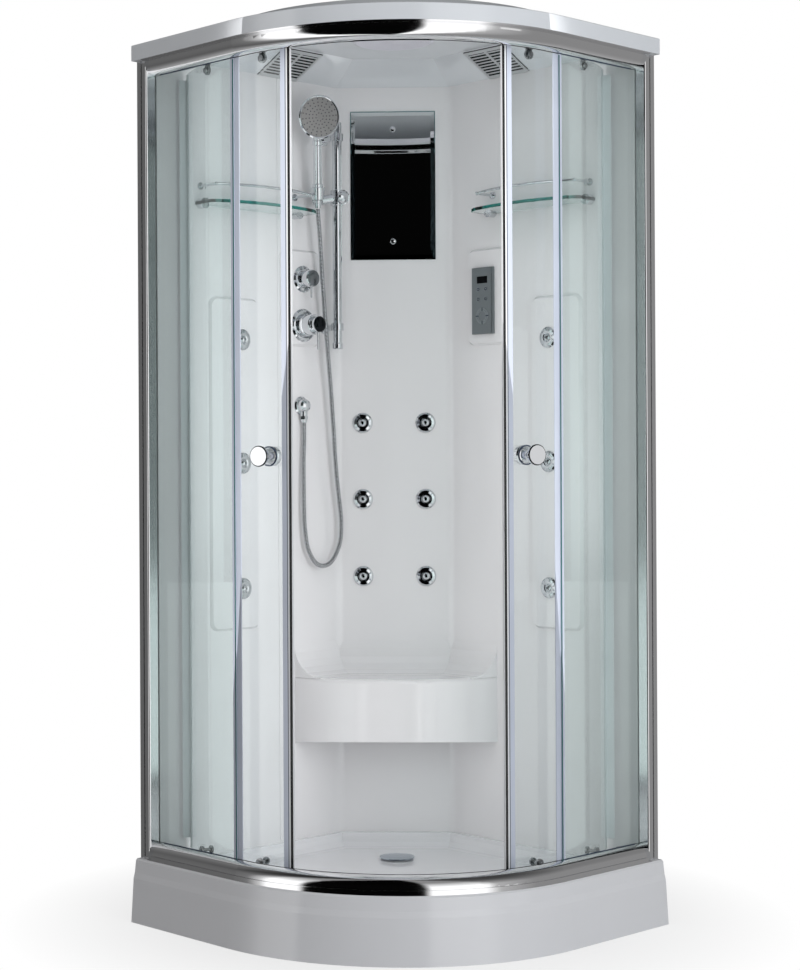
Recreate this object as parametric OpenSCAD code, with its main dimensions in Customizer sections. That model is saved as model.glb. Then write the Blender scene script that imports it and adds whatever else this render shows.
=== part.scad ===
// Quarter-round shower cabin with two sliding curved doors, a seat and a hand shower.
// Millimetres, +Z up. The origin is on the floor under the middle of the cabin, doors towards -Y.
// Places on a side wall are given as p, along the wall from the room corner, q, out into the room, and z.

/* [Tray] */
// Side of the square corner that the cabin fills, at the floor
tray_side = 900; // [892:2:908]
// Radius of the round front, at the floor
front_radius = 550; // [546:1:554]
// Height of the tray's rim above the floor
tray_h = 150; // [142:2:170]
// How far the skirt leans in from the floor up to the rim
skirt_lean = 16; // [13:0.5:19]
// Height of the soft crease that runs round the skirt
crease_z = 104; // [90:2:112]
// Depth of the basin floor below the rim
basin_depth = 52; // [44:2:58]
// Depth of the ledge that the wall panels stand on, below the rim
ledge_drop = 16; // [12:1:22]
// Round between the basin's wall and its floor
basin_round = 26; // [16:2:32]
// Thickness of the moulded shells
shell_t = 5; // [4:0.5:6]
// Distance of the waste from the cabin's middle, towards the back
waste_y = 150; // [140:2:160]
// Diameter of the waste cover
waste_d = 88; // [80:2:96]

/* [Walls] */
// Thickness of the wall panels
panel_t = 5; // [4:0.5:6]
// Free depth behind the wall panels
panel_gap = 30; // [28:1:36]
// Width of the flat back column
column_w = 292; // [280:2:300]
// Round in the corners between the column and the side walls
column_round = 35; // [20:5:45]
// Place along the wall where the middle panel meets a side panel
joint_p = 450; // [446:2:460]
// Height of the raised fields on the walls
relief_t = 8; // [6:1:10]

/* [Seat] */
// Radius of the seat about the room corner
seat_r = 400; // [380:5:410]
// Height of the seat's top
seat_z = 550; // [520:5:580]
// Height of the seat's front at the side walls
seat_front_h = 168; // [140:4:180]
// Round between the seat and the walls
seat_cove = 80; // [50:5:90]
// Draft angle of the seat's underside
seat_draft = 8; // [4:1:10]

/* [Roof] */
// Height of the roof's lower edge above the floor
roof_z = 2054; // [2040:2:2070]
// Height of the roof's front band
band_h = 38; // [32:2:44]
// How far the roof's front stands inside the tray's foot
roof_inset = 13; // [10:1:16]
// Height of the domed ceiling above its edges
dome_h = 53; // [45:1:60]
// Diameter of the ceiling lamp
lamp_d = 200; // [180:5:220]
// Length of a vent grille along the wall
vent_w = 130; // [110:5:140]

/* [Tracks and doors] */
// How far the fixed glass stands inside the tray's foot
glass_inset = 60; // [58:0.5:62]
// Thickness of every glass pane
glass_t = 5; // [4:0.5:5.5]
// Distance of the wheel path inside the fixed glass
wheel_inset = 17; // [16.5:0.1:17.5]
// Distance of the door glass inside the wheel path
door_inset = 22; // [21.5:0.1:22.5]
// Radius of the round chrome nose of both tracks
nose_r = 30; // [28:0.5:32]
// How far a fixed pane's free edge stops short of the front's round part
pane_short = 32; // [28:2:48]
// Angle that a door's glass spans
door_span = 51; // [49:0.5:52]
// Angle between the shut doors' meeting line and the open door's leading edge
door_open = 32.2; // [28:0.1:33]
// Angle from the leading edge to the first wheel
first_wheel = 9.75; // [9:0.25:11]
// Distance between a door's two wheels
wheel_span = 200; // [190:2:204]
// Radius of a door wheel
wheel_r = 10; // [9:0.25:10.5]
// Height of the door knobs
knob_z = 1108; // [1000:4:1200]
// Diameter of a door knob's disc
knob_d = 47; // [42:1:50]

/* [Fittings] */
// Height of the mirror's middle
mirror_z = 1812; // [1790:2:1830]
// Width of the mirror
mirror_w = 220; // [200:5:240]
// Height of the mirror
mirror_h = 385; // [360:5:400]
// Diameter of a jet's flange
jet_d = 52; // [48:1:56]
// Diameter of a jet's eyeball
eye_d = 24; // [20:1:26]
// Sideways distance of the column jets from the middle
jet_x = 81.5; // [75:0.5:85]
// Place of the side jets along the wall
side_jet_p = 578; // [570:1:620]
// Diameter of the riser rail's tube
rail_d = 24; // [21:0.5:26]
// Distance of the riser rail's axis from the room wall
rail_q = 85; // [80:1:88]
// Height of the slider on the riser rail
slider_z = 1772; // [1766:1:1778]
// Diameter of the hand shower's head
head_d = 110; // [96:2:114]
// Lean of the hand shower towards the doors
hand_lean = 12; // [8:1:14]
// Outer diameter of the shower hose
hose_d = 12; // [11:0.5:13]
// Height of the mixer's axis
mixer_z = 1444; // [1436:1:1450]
// Height of the diverter's axis
diverter_z = 1562; // [1552:1:1568]
// Height of the glass shelves' underside
shelf_z = 1722; // [1716:1:1726]
// Length of a glass shelf
shelf_w = 342; // [330:2:344]
// Thickness of a glass shelf
shelf_t = 8; // [6:0.5:8]

/* [Hidden] */
$fn = 64;
tau_step = 360 / 8;
hair = 0.01;
fit = 0.05;
gap = 0.3;

// Plan: the front's round part has its centre at (straight, straight) in wall places
straight = tray_side - front_radius;
back_round = 30;
room_corner_y = (straight * sqrt(2) + front_radius + back_round * (sqrt(2) - 1)) / 2;
panel_face = panel_gap + panel_t;
fixed_w = straight - pane_short - panel_gap + 8;
column_sum = 2 * panel_face + column_w / 2 * sqrt(2);
column_y = room_corner_y - column_sum / sqrt(2);
far = 1200;

// Tray
rim_z = tray_h;
ledge_z = tray_h - ledge_drop;
floor_z = tray_h - basin_depth;
crease_in = 7.5;
crease_step = 4;
crease_rise = 14;
rim_round = 4;
basin_margin = 12;
waste_hole_r = waste_d / 2 - 9;
waste_bore_r = waste_hole_r - 9;
trap_bottom = 12;
trap_pipe_r = 20;
trap_pipe_z = trap_bottom + trap_pipe_r + 2;
waste_p = (room_corner_y - waste_y) / sqrt(2);
cover_lift = 30;
beam = 30;
beam_q = 85;
foot_r = 25;

// Walls
wall_top = roof_z + 13;
wall_h = wall_top - ledge_z;
relief_lean = 6;
relief_round = 25;
side_relief = [517, 677, 680, 1503];
mid_relief = [305, 445, 1390, 1637];
side_end = tray_side - glass_inset - 4;
relief_face = panel_face + relief_t;

// Seat
seat_edge = 10;
seat_low = seat_z - seat_front_h - (seat_r * 0.766) * tan(seat_draft);

// Roof
roof_r = front_radius - roof_inset;
plateau_z = wall_top + dome_h;
dome_run = 2 * dome_h;
dome_angle = atan(0.5);
lamp_z = 2150 - plateau_z > 20 ? 2150 : plateau_z + 30;
lamp_y = 10;
vent_p = 387;
vent_l = dome_run / cos(dome_angle) - 4;
vent_rim = 8;
vent_slats = 9;

// Tracks
fixed_r = front_radius - glass_inset;
wheel_path = fixed_r - wheel_inset;
door_r = wheel_path - door_inset;
slot = glass_t / 2 + 0.5;
fin = 2;
web_t = 1.4;
ledge_in = door_r + glass_t / 2 + 11;
nose_at = fixed_r + slot + fin;
track_in = door_r - 19;
flange_r = roof_r - 1;
foot_flange_r = front_radius - skirt_lean - 4;
foot_lip = 38.4;
foot_ledge = 23.7;
top_lip = 35;
top_ledge = 28;
cap_q = panel_face + 0.5;
track_q = cap_q + 14.5;
post_p = side_end - 2;
post_w = 36;

// Doors, drawn shut in the left wall's places and turned open about a pole
wheel_z = roof_z - top_ledge + wheel_r + gap;
guide_z = rim_z + foot_ledge + 2 + wheel_r + gap;
door_foot = rim_z + 16;
door_top = roof_z - 23;
second_wheel = first_wheel + 2 * asin(wheel_span / 2 / wheel_path);
function on_arc(r, a) = [straight + r * cos(45 - a), straight + r * sin(45 - a)];
shut_1 = on_arc(wheel_path, first_wheel);
shut_2 = on_arc(wheel_path, second_wheel);
open_1 = on_arc(wheel_path, door_open + first_wheel);
run_p = straight + wheel_path;
open_2 = [run_p, open_1[1] - sqrt(pow(wheel_span, 2) - pow(run_p - open_1[0], 2))];
function bearing(a, b) = atan2(b[1] - a[1], b[0] - a[0]);
door_turn = bearing(open_1, open_2) - bearing(shut_1, shut_2);
half_way = (shut_1 + open_1) / 2;
step_1 = open_1 - shut_1;
pole = half_way + [-step_1[1], step_1[0]] / (2 * tan(door_turn / 2));
seal_w = 3.2;
seal_gap = 0.06;
glass_from = 1.5;
knob_at = 7.6;
seal_fin = 22;
wheel_half = 2.4;

// Fittings
jet_rows = [1196, 998, 798];
side_jet_rows = [1399, 1093, 782];
eye_r = eye_d / 2;
jet_body_r = jet_d / 2 - 5;
jet_depth = 30;
side_jet_depth = relief_face - 25.5;
pipe_r = 8;
pipe_q = 17;
rail_p = 289;
rail_low = 1387;
rail_top = 1965;
rail_brackets = [1441, 1927];
hand_x = -192;
hand_y = 219;
hand_z = 1741;
grip_len = 176;
head_up = 228;
head_tilt = 4;
head_turn = 24;
knuckle = [hand_x - 2, hand_y + 26, slider_z - 8];
outlet_p = 373;
outlet_z = 1239;
valve_p = 370;
mixer_rosette_r = 42;
diverter_rosette_r = 34;
mixer_pivot_q = 90;
inlet_r = 10.478;
inlet_rows = [1478, 1520];
shelf_p = 547;
shelf_q = 140;
shelf_bow = 30;
rail_z = shelf_z + 47;
guard_half = 154.5;
guard_q = 96;
guard_bow = 34;
panel_box = [334, 403, 1418.5, 1587.5];
panel_box_t = 11;
keys = [[358, 1532], [383, 1532], [358, 1507], [383, 1507]];
ring_at = [371, 1464];

// Hose: chosen points of its centre line in the left wall's places, from the hand shower to the outlet
hose_route = [
    [354, 82, 1739], [353, 82, 1721], [347, 80, 1685], [341, 79, 1628], [335, 77, 1571], [329, 76, 1514],
    [322, 74, 1456], [315, 73, 1399], [307, 71, 1342], [300, 70, 1284], [293, 68, 1227], [287, 67, 1169],
    [281, 65, 1111], [274, 64, 1053], [265, 63, 996], [257, 62, 938], [262, 60, 882], [293, 58, 836],
    [335, 57, 832], [367, 56, 868], [379, 55, 924], [381, 54, 980], [380, 52, 1038], [378, 50, 1096],
    [374, 48, 1150], [373, 47, 1180], [373, 47, 1196]
];
hose_ribs = 200;
hose_sides = 8;
hose_bore_r = hose_d / 2 - 2.4;

// Frames of reference

module left_wall() {
    translate([0, room_corner_y, 0]) rotate([0, 0, 225]) children();
}

module right_wall() {
    mirror([1, 0, 0]) left_wall() children();
}

module both_walls() {
    left_wall() children();
    right_wall() children();
}

// Turns local Z out of a side wall, local X along it
module off_wall(p, z, q) {
    translate([p, q, z]) rotate([-90, 0, 0]) children();
}

// Turns local Z out of the back column, local Y up
module off_column(x, z) {
    translate([x, column_y, z]) rotate([90, 0, 0]) children();
}

// Sweeps a profile of (radius, height) along one straight return, from q to the bend
module straight_run(from_q) {
    translate([straight, straight, 0]) rotate([90, 0, 0]) linear_extrude(straight - from_q) children();
}

// Sweeps a profile of (radius, height) round the whole front
module round_front(from_q) {
    translate([straight, straight, 0]) rotate_extrude(angle = 90, $fn = 128) children();
    straight_run(from_q) children();
    mirror([1, -1, 0]) straight_run(from_q) children();
}

// Solid quarter-round block whose front follows a profile that starts at radius 0
module quarter_block(low, high) {
    round_front(0) children();
    translate([0, 0, low]) cube([straight, straight, high - low]);
}

// What rounds the corner of a block that stands in the room corner
module back_corner_cut(low, high) {
    difference() {
        translate([-1, -1, low]) cube([back_round + 1, back_round + 1, high - low]);
        translate([back_round, back_round, low - 1]) cylinder(h = high - low + 2, r = back_round);
    }
}

// Plan of the space in front of the wall panels, grown backwards
module room_plan(grow) {
    face = panel_face - grow;
    round_r = column_round + grow;
    near = panel_face + column_round;
    side = column_sum - panel_face + column_round * tan(22.5);
    cut = round_r / sqrt(2);
    polygon([[face, far], [face, side], [near - cut, side - cut], [side - cut, near - cut],
        [side, face], [far, face], [far, far]]);
    translate([side, near]) circle(round_r);
    translate([near, side]) circle(round_r);
}

// The same plan without its rounds, drawn inwards
module sharp_plan(inset, reach) {
    face = panel_face + inset;
    side = column_sum + inset * sqrt(2) - face;
    polygon([[face, reach], [face, side], [side, face], [reach, face], [reach, reach]]);
}

// Tray

module skirt(inset, high) {
    r = front_radius - inset;
    polygon([[0, -inset], [r, -inset], [r - crease_in, crease_z],
        [r - crease_in - crease_step, crease_z + crease_rise],
        [r - skirt_lean + 1, high - rim_round], [r - skirt_lean - rim_round + 1, high], [0, high]]);
}

module basin_plan(inset) {
    intersection() {
        sharp_plan(basin_margin + inset, far);
        union() {
            translate([straight, straight]) circle(track_in - 8 - inset, $fn = 128);
            square([straight, straight + track_in - 8 - inset]);
            square([straight + track_in - 8 - inset, straight]);
        }
    }
}

module basin_slice(z, inset) {
    translate([0, 0, z]) linear_extrude(hair) basin_plan(inset);
}

module basin(grow, top) {
    hull() {
        basin_slice(top, -grow);
        for (a = [0:30:90])
            basin_slice(floor_z - grow + (basin_round + grow) * (1 - sin(a)),
                (basin_round + grow) * (1 - cos(a)) - grow + 2);
    }
}

module inside_track(grow) {
    translate([straight, straight]) circle(track_in - 4 + grow);
    square([straight, straight + track_in - 4 + grow]);
    square([straight + track_in - 4 + grow, straight]);
}

module ledge_plan(grow) {
    intersection() {
        room_plan(panel_t + grow);
        inside_track(grow);
    }
}

// What stays solid round the ledge, seen from below
module ledge_wall_plan() {
    intersection() {
        sharp_plan(-panel_t - gap - shell_t, far);
        inside_track(gap + shell_t);
    }
}

// Slots that the side panels' feet stand in, out to the posts
module panel_slots(grow) {
    for (flip = [0, 1])
        rotate([0, 0, 90 * flip])
            mirror([0, flip, 0])
                translate([joint_p, panel_gap - grow])
                    square([side_end - joint_p + grow, panel_t + gap + 2 * grow]);
}

module shower_tray() {
    color("whitesmoke") difference() {
        left_wall() difference() {
            quarter_block(0, rim_z) skirt(0, rim_z);
            back_corner_cut(-1, rim_z + 1);
            basin(0, rim_z + 1);
            translate([0, 0, ledge_z]) linear_extrude(ledge_drop + 1) ledge_plan(gap);
            translate([0, 0, ledge_z]) linear_extrude(ledge_drop + 1) panel_slots(gap);
            difference() {
                intersection() {
                    quarter_block(-1, rim_z - shell_t) skirt(shell_t, rim_z - shell_t);
                    translate([shell_t, shell_t, -2]) cube([tray_side, tray_side, rim_z + 2]);
                }
                basin(shell_t, rim_z + 1);
                translate([0, 0, ledge_z - shell_t]) linear_extrude(ledge_drop + 9) ledge_wall_plan();
                translate([0, 0, ledge_z - shell_t]) linear_extrude(ledge_drop + 9) panel_slots(gap + shell_t);
            }
            translate([waste_p - 35, -1, -1]) cube([70, shell_t + 8, 71]);
        }
        translate([0, waste_y, 0]) cylinder(h = rim_z, r = waste_hole_r);
    }
}

module beam_plan(from, to) {
    translate([from[0], from[1]]) rotate([0, 0, bearing(from, to)])
        translate([0, -beam / 2]) square([norm(to - from), beam]);
}

frame_near = beam_q;
frame_long = 690;
frame_front = 598;
frame_middle = (frame_near + frame_long) / 2;
foot_places = [[frame_near, frame_near], [frame_near, frame_long], [frame_long, frame_near],
    [frame_front, frame_front], [frame_middle, frame_middle]];

module tray_frame() {
    color("dimgray") left_wall() translate([0, 0, floor_z - shell_t - beam]) linear_extrude(beam) difference() {
        union() {
            beam_plan(foot_places[0], foot_places[1]);
            beam_plan(foot_places[0], foot_places[2]);
            beam_plan(foot_places[1], foot_places[2]);
            beam_plan(foot_places[1], foot_places[3]);
            beam_plan(foot_places[2], foot_places[3]);
            beam_plan(foot_places[4], foot_places[3]);
            for (at = foot_places) translate(at) circle(beam / 2 + 4);
        }
        for (at = foot_places) translate(at) circle(6.1);
    }
}

module levelling_feet() {
    color("silver") left_wall() for (at = foot_places) translate([at[0], at[1], 0]) {
        cylinder(h = 6, r = foot_r);
        translate([0, 0, 6]) cylinder(h = 8, r1 = foot_r - 4, r2 = 11);
        cylinder(h = floor_z - shell_t - 4, r = 6);
        translate([0, 0, floor_z - shell_t - beam - 10]) cylinder(h = 10, r = 10, $fn = 6);
    }
}

// Turns local Z along the waste outlet, square to the left wall
module along_outlet() {
    translate([0, 0, trap_pipe_z]) rotate([0, 0, 45]) rotate([-90, 0, 0]) children();
}

module waste_trap() {
    color("lightgray") translate([0, waste_y, 0]) difference() {
        union() {
            translate([0, 0, floor_z]) cylinder(h = 2, r = waste_hole_r + 6);
            translate([0, 0, trap_bottom + 4]) cylinder(h = floor_z - trap_bottom, r = waste_hole_r - 0.5);
            translate([0, 0, trap_bottom]) cylinder(h = floor_z - shell_t - trap_bottom, r = waste_hole_r + 8);
            along_outlet() cylinder(h = 180, r = trap_pipe_r);
            along_outlet() cylinder(h = 50, r = trap_pipe_r + 4);
        }
        translate([0, 0, trap_bottom + 5]) cylinder(h = rim_z, r = waste_bore_r);
        along_outlet() cylinder(h = 181, r = trap_pipe_r - 2.5);
    }
}

module waste_cover() {
    color("silver") translate([0, waste_y, floor_z]) {
        difference() {
            translate([0, 0, 6]) rotate_extrude() polygon([[0, 0], [waste_d / 2 - 2, 0], [waste_d / 2, 1.5],
                [waste_d / 2 - 1, 3], [waste_d / 4, 5.5], [0, 6.2]]);
            translate([0, 0, 5]) cylinder(h = 3, r = waste_bore_r - 6);
        }
        difference() {
            translate([0, 0, -34]) cylinder(h = 40 + hair, r = waste_bore_r - fit);
            translate([0, 0, -35]) cylinder(h = 42, r = waste_bore_r - 2.5);
            for (a = [0:60:120])
                rotate([0, 0, a]) translate([-waste_d, -8, 2.5]) cube([2 * waste_d, 16, 3]);
        }
    }
}

// Walls

module rounded_slab(x0, x1, z0, z1, round_r, inset) {
    for (x = [x0 + round_r, x1 - round_r], z = [z0 + round_r, z1 - round_r])
        translate([x, 0, z]) rotate([-90, 0, 0]) cylinder(h = hair, r = round_r - inset, $fn = 32);
}

// Raised field with leaning sides, on a wall's face
module relief(field) {
    hull() {
        translate([0, panel_face - hair, 0])
            rounded_slab(field[0], field[1], field[2], field[3], relief_round, 0);
        translate([0, relief_face - hair, 0])
            rounded_slab(field[0], field[1], field[2], field[3], relief_round, relief_lean);
    }
}

// Hollow behind a raised field
module relief_hollow(field) {
    in = relief_lean + 6;
    translate([field[0] + in, panel_gap - 1, field[2] + in])
        cube([field[1] - field[0] - 2 * in, relief_face - panel_t - panel_gap + 1, field[3] - field[2] - 2 * in]);
}

module side_panel() {
    difference() {
        union() {
            translate([joint_p + 1, panel_gap, ledge_z]) cube([side_end - joint_p - 1, panel_t, wall_h]);
            relief(side_relief);
        }
        relief_hollow(side_relief);
        for (z = side_jet_rows) off_wall(side_jet_p, z, 0) cylinder(h = 60, r = jet_body_r + gap);
    }
}

module left_wall_panel() {
    color("white") left_wall() side_panel();
}

module right_wall_panel() {
    color("white") right_wall() side_panel();
}

module seat_body(inset) {
    rotate_extrude(angle = 90, $fn = 96) {
        translate([seat_r - seat_edge - inset, seat_z - seat_edge - inset]) circle(seat_edge);
        polygon([[0, 0], [seat_r - inset, 0], [seat_r - inset, seat_z - seat_edge - inset],
            [seat_r - seat_edge - inset, seat_z - inset], [0, seat_z - inset]]);
    }
}

module above_draft(lift) {
    translate([0, 0, seat_low + lift])
        rotate(a = seat_draft, v = [1, -1, 0])
            translate([-far, -far, 0]) cube([2 * far, 2 * far, far]);
}

// Soft hollow corner between the seat and the walls
module cove_hollow() {
    hull() for (a = [0:15:90])
        translate([0, 0, seat_z + seat_cove * (1 - sin(a))])
            linear_extrude(hair) sharp_plan(seat_cove * (1 - cos(a)), seat_r + 200);
}

module back_column() {
    color("white") difference() {
        left_wall() difference() {
            union() {
                translate([0, 0, ledge_z]) linear_extrude(wall_h) difference() {
                    intersection() {
                        room_plan(panel_t);
                        square(joint_p);
                    }
                    room_plan(0);
                }
                intersection() {
                    seat_body(0);
                    above_draft(0);
                    linear_extrude(far) room_plan(hair);
                }
                difference() {
                    intersection() {
                        cylinder(h = seat_z + seat_cove, r = seat_r);
                        translate([0, 0, seat_z - 2]) linear_extrude(seat_cove + 2) room_plan(hair);
                    }
                    cove_hollow();
                    translate([0, 0, seat_z + hair]) mirror([0, 0, 1]) linear_extrude(5) sharp_plan(seat_cove, far);
                }
                relief(mid_relief);
                mirror([1, -1, 0]) relief(mid_relief);
            }
            intersection() {
                seat_body(shell_t);
                above_draft(shell_t);
                linear_extrude(far) room_plan(panel_t + 1);
            }
            relief_hollow(mid_relief);
            for (z = [mixer_z, diverter_z]) off_wall(valve_p, z, 0) cylinder(h = 60, r = 14.3);
            off_wall(outlet_p, outlet_z, 0) cylinder(h = 60, r = 10.3);
        }
        for (z = jet_rows, s = [-1, 1])
            off_column(s * jet_x, z) translate([0, 0, -20]) cylinder(h = 40, r = jet_body_r + gap);
        for (s = [-1, 1])
            off_column(0, mirror_z + s * (mirror_h / 2 - 47)) translate([0, 0, -20]) cylinder(h = 40, r = 2.6);
    }
}

// Roof

// Space under a surface that rises from every edge to a flat middle
module dome(lift, edge_r, low) {
    run = dome_run;
    top = plateau_z + lift;
    foot = wall_top + lift;
    intersection() {
        quarter_block(low, top) polygon([[0, low], [edge_r, low], [edge_r, foot], [edge_r - run, top], [0, top]]);
        wall_slope(foot, top, low);
        mirror([1, -1, 0]) wall_slope(foot, top, low);
        rotate([0, 0, 45]) translate([column_sum / sqrt(2) - panel_face, 0, 0]) column_slope(foot, top, low);
    }
}

module wall_slope(foot, top, low) {
    rotate([90, 0, 90]) linear_extrude(tray_side) polygon([[0, low], [0, foot], [panel_face, foot],
        [panel_face + dome_run, top], [tray_side, top], [tray_side, low]]);
}

module column_slope(foot, top, low) {
    translate([0, far / 2, 0]) rotate([90, 0, 0]) linear_extrude(far) polygon([[-far / 2, low], [-far / 2, foot],
        [panel_face, foot], [panel_face + dome_run, top], [far, top], [far, low]]);
}

module on_slope() {
    translate([vent_p, panel_face, wall_top]) rotate([dome_angle, 0, 0]) children();
}

module roof() {
    color("gainsboro") difference() {
        left_wall() difference() {
            union() {
                dome(shell_t, roof_r, roof_z);
                round_front(0) translate([roof_r - 46, roof_z]) {
                    square([46, band_h - 4]);
                    square([42, band_h]);
                    translate([42, band_h - 4]) circle(4);
                }
            }
            back_corner_cut(roof_z - 1, plateau_z);
            dome(0, roof_r - shell_t, roof_z - 1);
            on_slope() vent_hole();
            mirror([1, -1, 0]) on_slope() vent_hole();
        }
        translate([0, lamp_y, plateau_z - 1]) cylinder(h = 30, r = lamp_d / 2 - 12);
    }
}

module vent_hole() {
    translate([vent_rim, vent_rim, -6]) cube([vent_w - 2 * vent_rim, vent_l - 2 * vent_rim, 30]);
}

module vent_grille() {
    field = (vent_w - 3 * vent_rim) / 2;
    pitch = (vent_l - 2 * vent_rim) / vent_slats;
    difference() {
        translate([0, 2, -4]) cube([vent_w, vent_l - 2, 4 - hair]);
        for (i = [0, 1])
            translate([vent_rim + i * (field + vent_rim), vent_rim + 2, -5])
                cube([field, vent_l - 2 * vent_rim - 4, 6]);
    }
    for (i = [0, 1], k = [0:vent_slats - 1])
        translate([vent_rim + i * (field + vent_rim) - 1, vent_rim + (k + 0.5) * pitch, -2.45])
            rotate([30, 0, 0]) translate([0, -3.5, -0.6]) cube([field + 2, 7, 1.2]);
}

module vent_grilles() {
    color("silver") both_walls() on_slope() vent_grille();
}

module ceiling_lamp() {
    color("lavender") translate([0, lamp_y, 0]) {
        translate([0, 0, plateau_z - 6]) rotate_extrude() polygon([[0, 0], [lamp_d / 2 - 8, 0],
            [lamp_d / 2, 3], [lamp_d / 2, 6], [0, 6]]);
        translate([0, 0, plateau_z]) cylinder(h = lamp_z - plateau_z, r = lamp_d / 2 - 12.3);
    }
}

// Tracks

// Extruded section, drawn up from its outer web, with the nose outwards
module track_section(lip, ledge, flange, flange_h, inner_h) {
    nose_y = lip - nose_r;
    translate([track_in, 0]) square([flange - track_in, 2.5]);
    translate([track_in, 0]) square([fin, inner_h]);
    translate([flange - 3.5, 0]) square([3.5, flange_h]);
    translate([nose_at - fin, 0]) square([fin, lip]);
    translate([fixed_r - slot - web_t, 0]) square([web_t, lip]);
    translate([ledge_in, ledge]) square([fixed_r - slot - ledge_in, 2]);
    translate([nose_at + nose_r - fin, 0]) square([fin, nose_y]);
    translate([nose_at, nose_y]) intersection() {
        difference() {
            circle(nose_r);
            circle(nose_r - fin);
        }
        translate([-fin / 2, 0]) square(nose_r + 2);
    }
}

module cap_section(lip, flange, inner_h) {
    nose_y = lip - nose_r;
    translate([track_in, 0]) square([fixed_r - slot - track_in, inner_h]);
    translate([track_in, 0]) square([nose_at - track_in, 2.5]);
    translate([fixed_r - slot - web_t, 0]) square([web_t, lip]);
    translate([nose_at - fin, 0]) square([fin, lip]);
    translate([nose_at, 0]) square([nose_r, nose_y]);
    translate([nose_at, 0]) square([flange - nose_at, 2.5]);
    translate([nose_at, nose_y]) intersection() {
        circle(nose_r);
        translate([-1, 0]) square(nose_r + 2);
    }
}

module bottom_track() {
    color("silver") left_wall() translate([0, 0, rim_z]) round_front(track_q)
        track_section(foot_lip, foot_ledge, foot_flange_r, 10.8, 10);
}

module top_track() {
    color("silver") left_wall() translate([0, 0, roof_z]) mirror([0, 0, 1]) round_front(track_q)
        track_section(top_lip, top_ledge, flange_r, 2.5, 18);
}

module end_cap_run() {
    translate([straight, straight, 0]) rotate([90, 0, 0])
        translate([0, 0, straight - track_q]) linear_extrude(track_q - cap_q) children();
}

module track_end_caps() {
    color("gray") both_walls() {
        translate([0, 0, rim_z]) end_cap_run() cap_section(foot_lip, foot_flange_r, foot_ledge);
        translate([0, 0, roof_z]) mirror([0, 0, 1]) end_cap_run() cap_section(top_lip, flange_r, 18);
    }
}

module wall_posts() {
    slot_p = straight + fixed_r - slot;
    color("silver") both_walls() translate([0, 0, rim_z]) linear_extrude(roof_z - rim_z) difference() {
        union() {
            translate([post_p, 0]) square([post_w, panel_gap]);
            translate([slot_p + 2 * slot, 0]) square([post_p + post_w - slot_p - 2 * slot - 4, panel_face]);
            translate([slot_p + 2 * slot, 0]) square([post_p + post_w - slot_p - 2 * slot, panel_face - 4]);
            translate([post_p + post_w - 4, panel_face - 4]) circle(4);
        }
        translate([slot_p, panel_gap - 10]) square([2 * slot, 20]);
        translate([post_p + 2, 2]) square([post_w - 6, panel_gap - 14]);
        translate([post_p + post_w - 2, 14]) square([4, 4]);
    }
}

module fixed_glasses() {
    color("lightcyan", 0.35) both_walls()
        translate([straight + fixed_r - glass_t / 2, panel_gap - 8, rim_z + 4])
            cube([glass_t, fixed_w, roof_z - rim_z - 8]);
}

module fixed_glass_seals() {
    edge_q = panel_gap - 8 + fixed_w;
    low = rim_z + foot_lip + 1;
    high = roof_z - top_lip - 1;
    color("gainsboro") both_walls() translate([straight + fixed_r, edge_q, low]) linear_extrude(high - low) {
        translate([-glass_t / 2 - 1.2, -8]) square([1.2, 10]);
        translate([glass_t / 2, -8]) square([1.2, 10]);
        translate([-glass_t / 2 - 1.2, 0]) square([glass_t + 2.4, 2]);
        translate([-1, 1]) square([2, 18]);
    }
}

// Doors

module open_door() {
    translate([pole[0], pole[1], 0]) rotate([0, 0, door_turn])
        translate([-pole[0], -pole[1], 0]) children();
}

module left_door() {
    left_wall() open_door() children();
}

module right_door() {
    mirror([1, 0, 0]) left_door() children();
}

// Upright wall of the shut door's plan between two angles from the meeting line
module door_arc(inner, outer, from, to, low, high) {
    translate([straight, straight, low]) rotate([0, 0, 45 - to])
        rotate_extrude(angle = to - from, $fn = 128) translate([inner, 0]) square([outer - inner, high - low]);
}

// Turns local Z outwards from the arc's centre at an angle and a height
module off_arc(a, z) {
    translate([straight, straight, z]) rotate([0, 0, 45 - a]) rotate([0, 90, 0]) children();
}

module door_glass() {
    difference() {
        door_arc(door_r - glass_t / 2, door_r + glass_t / 2, glass_from, door_span - 0.3, door_foot, door_top);
        off_arc(knob_at, knob_z) translate([0, 0, door_r - 20]) cylinder(h = 40, r = 6);
        for (a = [first_wheel, second_wheel]) {
            off_arc(a, guide_z) translate([0, 0, door_r - 20]) cylinder(h = 40, r = 4.5);
            off_arc(a, door_top - 15) translate([0, 0, door_r - 20]) cylinder(h = 40, r = 4.5);
        }
    }
}

module door_seals() {
    out = glass_t / 2 + 1.2;
    low = door_foot + 2;
    high = door_top - 2;
    glass_to = door_span - 0.3;
    difference() {
        union() {
            door_arc(door_r - out, door_r + out, seal_gap, seal_w, low, high);
            door_arc(door_r - out, door_r + out, door_span - 1.2, door_span, low, high);
            door_arc(door_r, door_r + seal_fin, glass_to + 0.05, door_span - 0.05,
                rim_z + foot_lip + 3, roof_z - top_lip - 3);
        }
        door_arc(door_r - glass_t / 2, door_r + glass_t / 2, glass_from, glass_to, low - 1, high + 1);
    }
}

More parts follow.
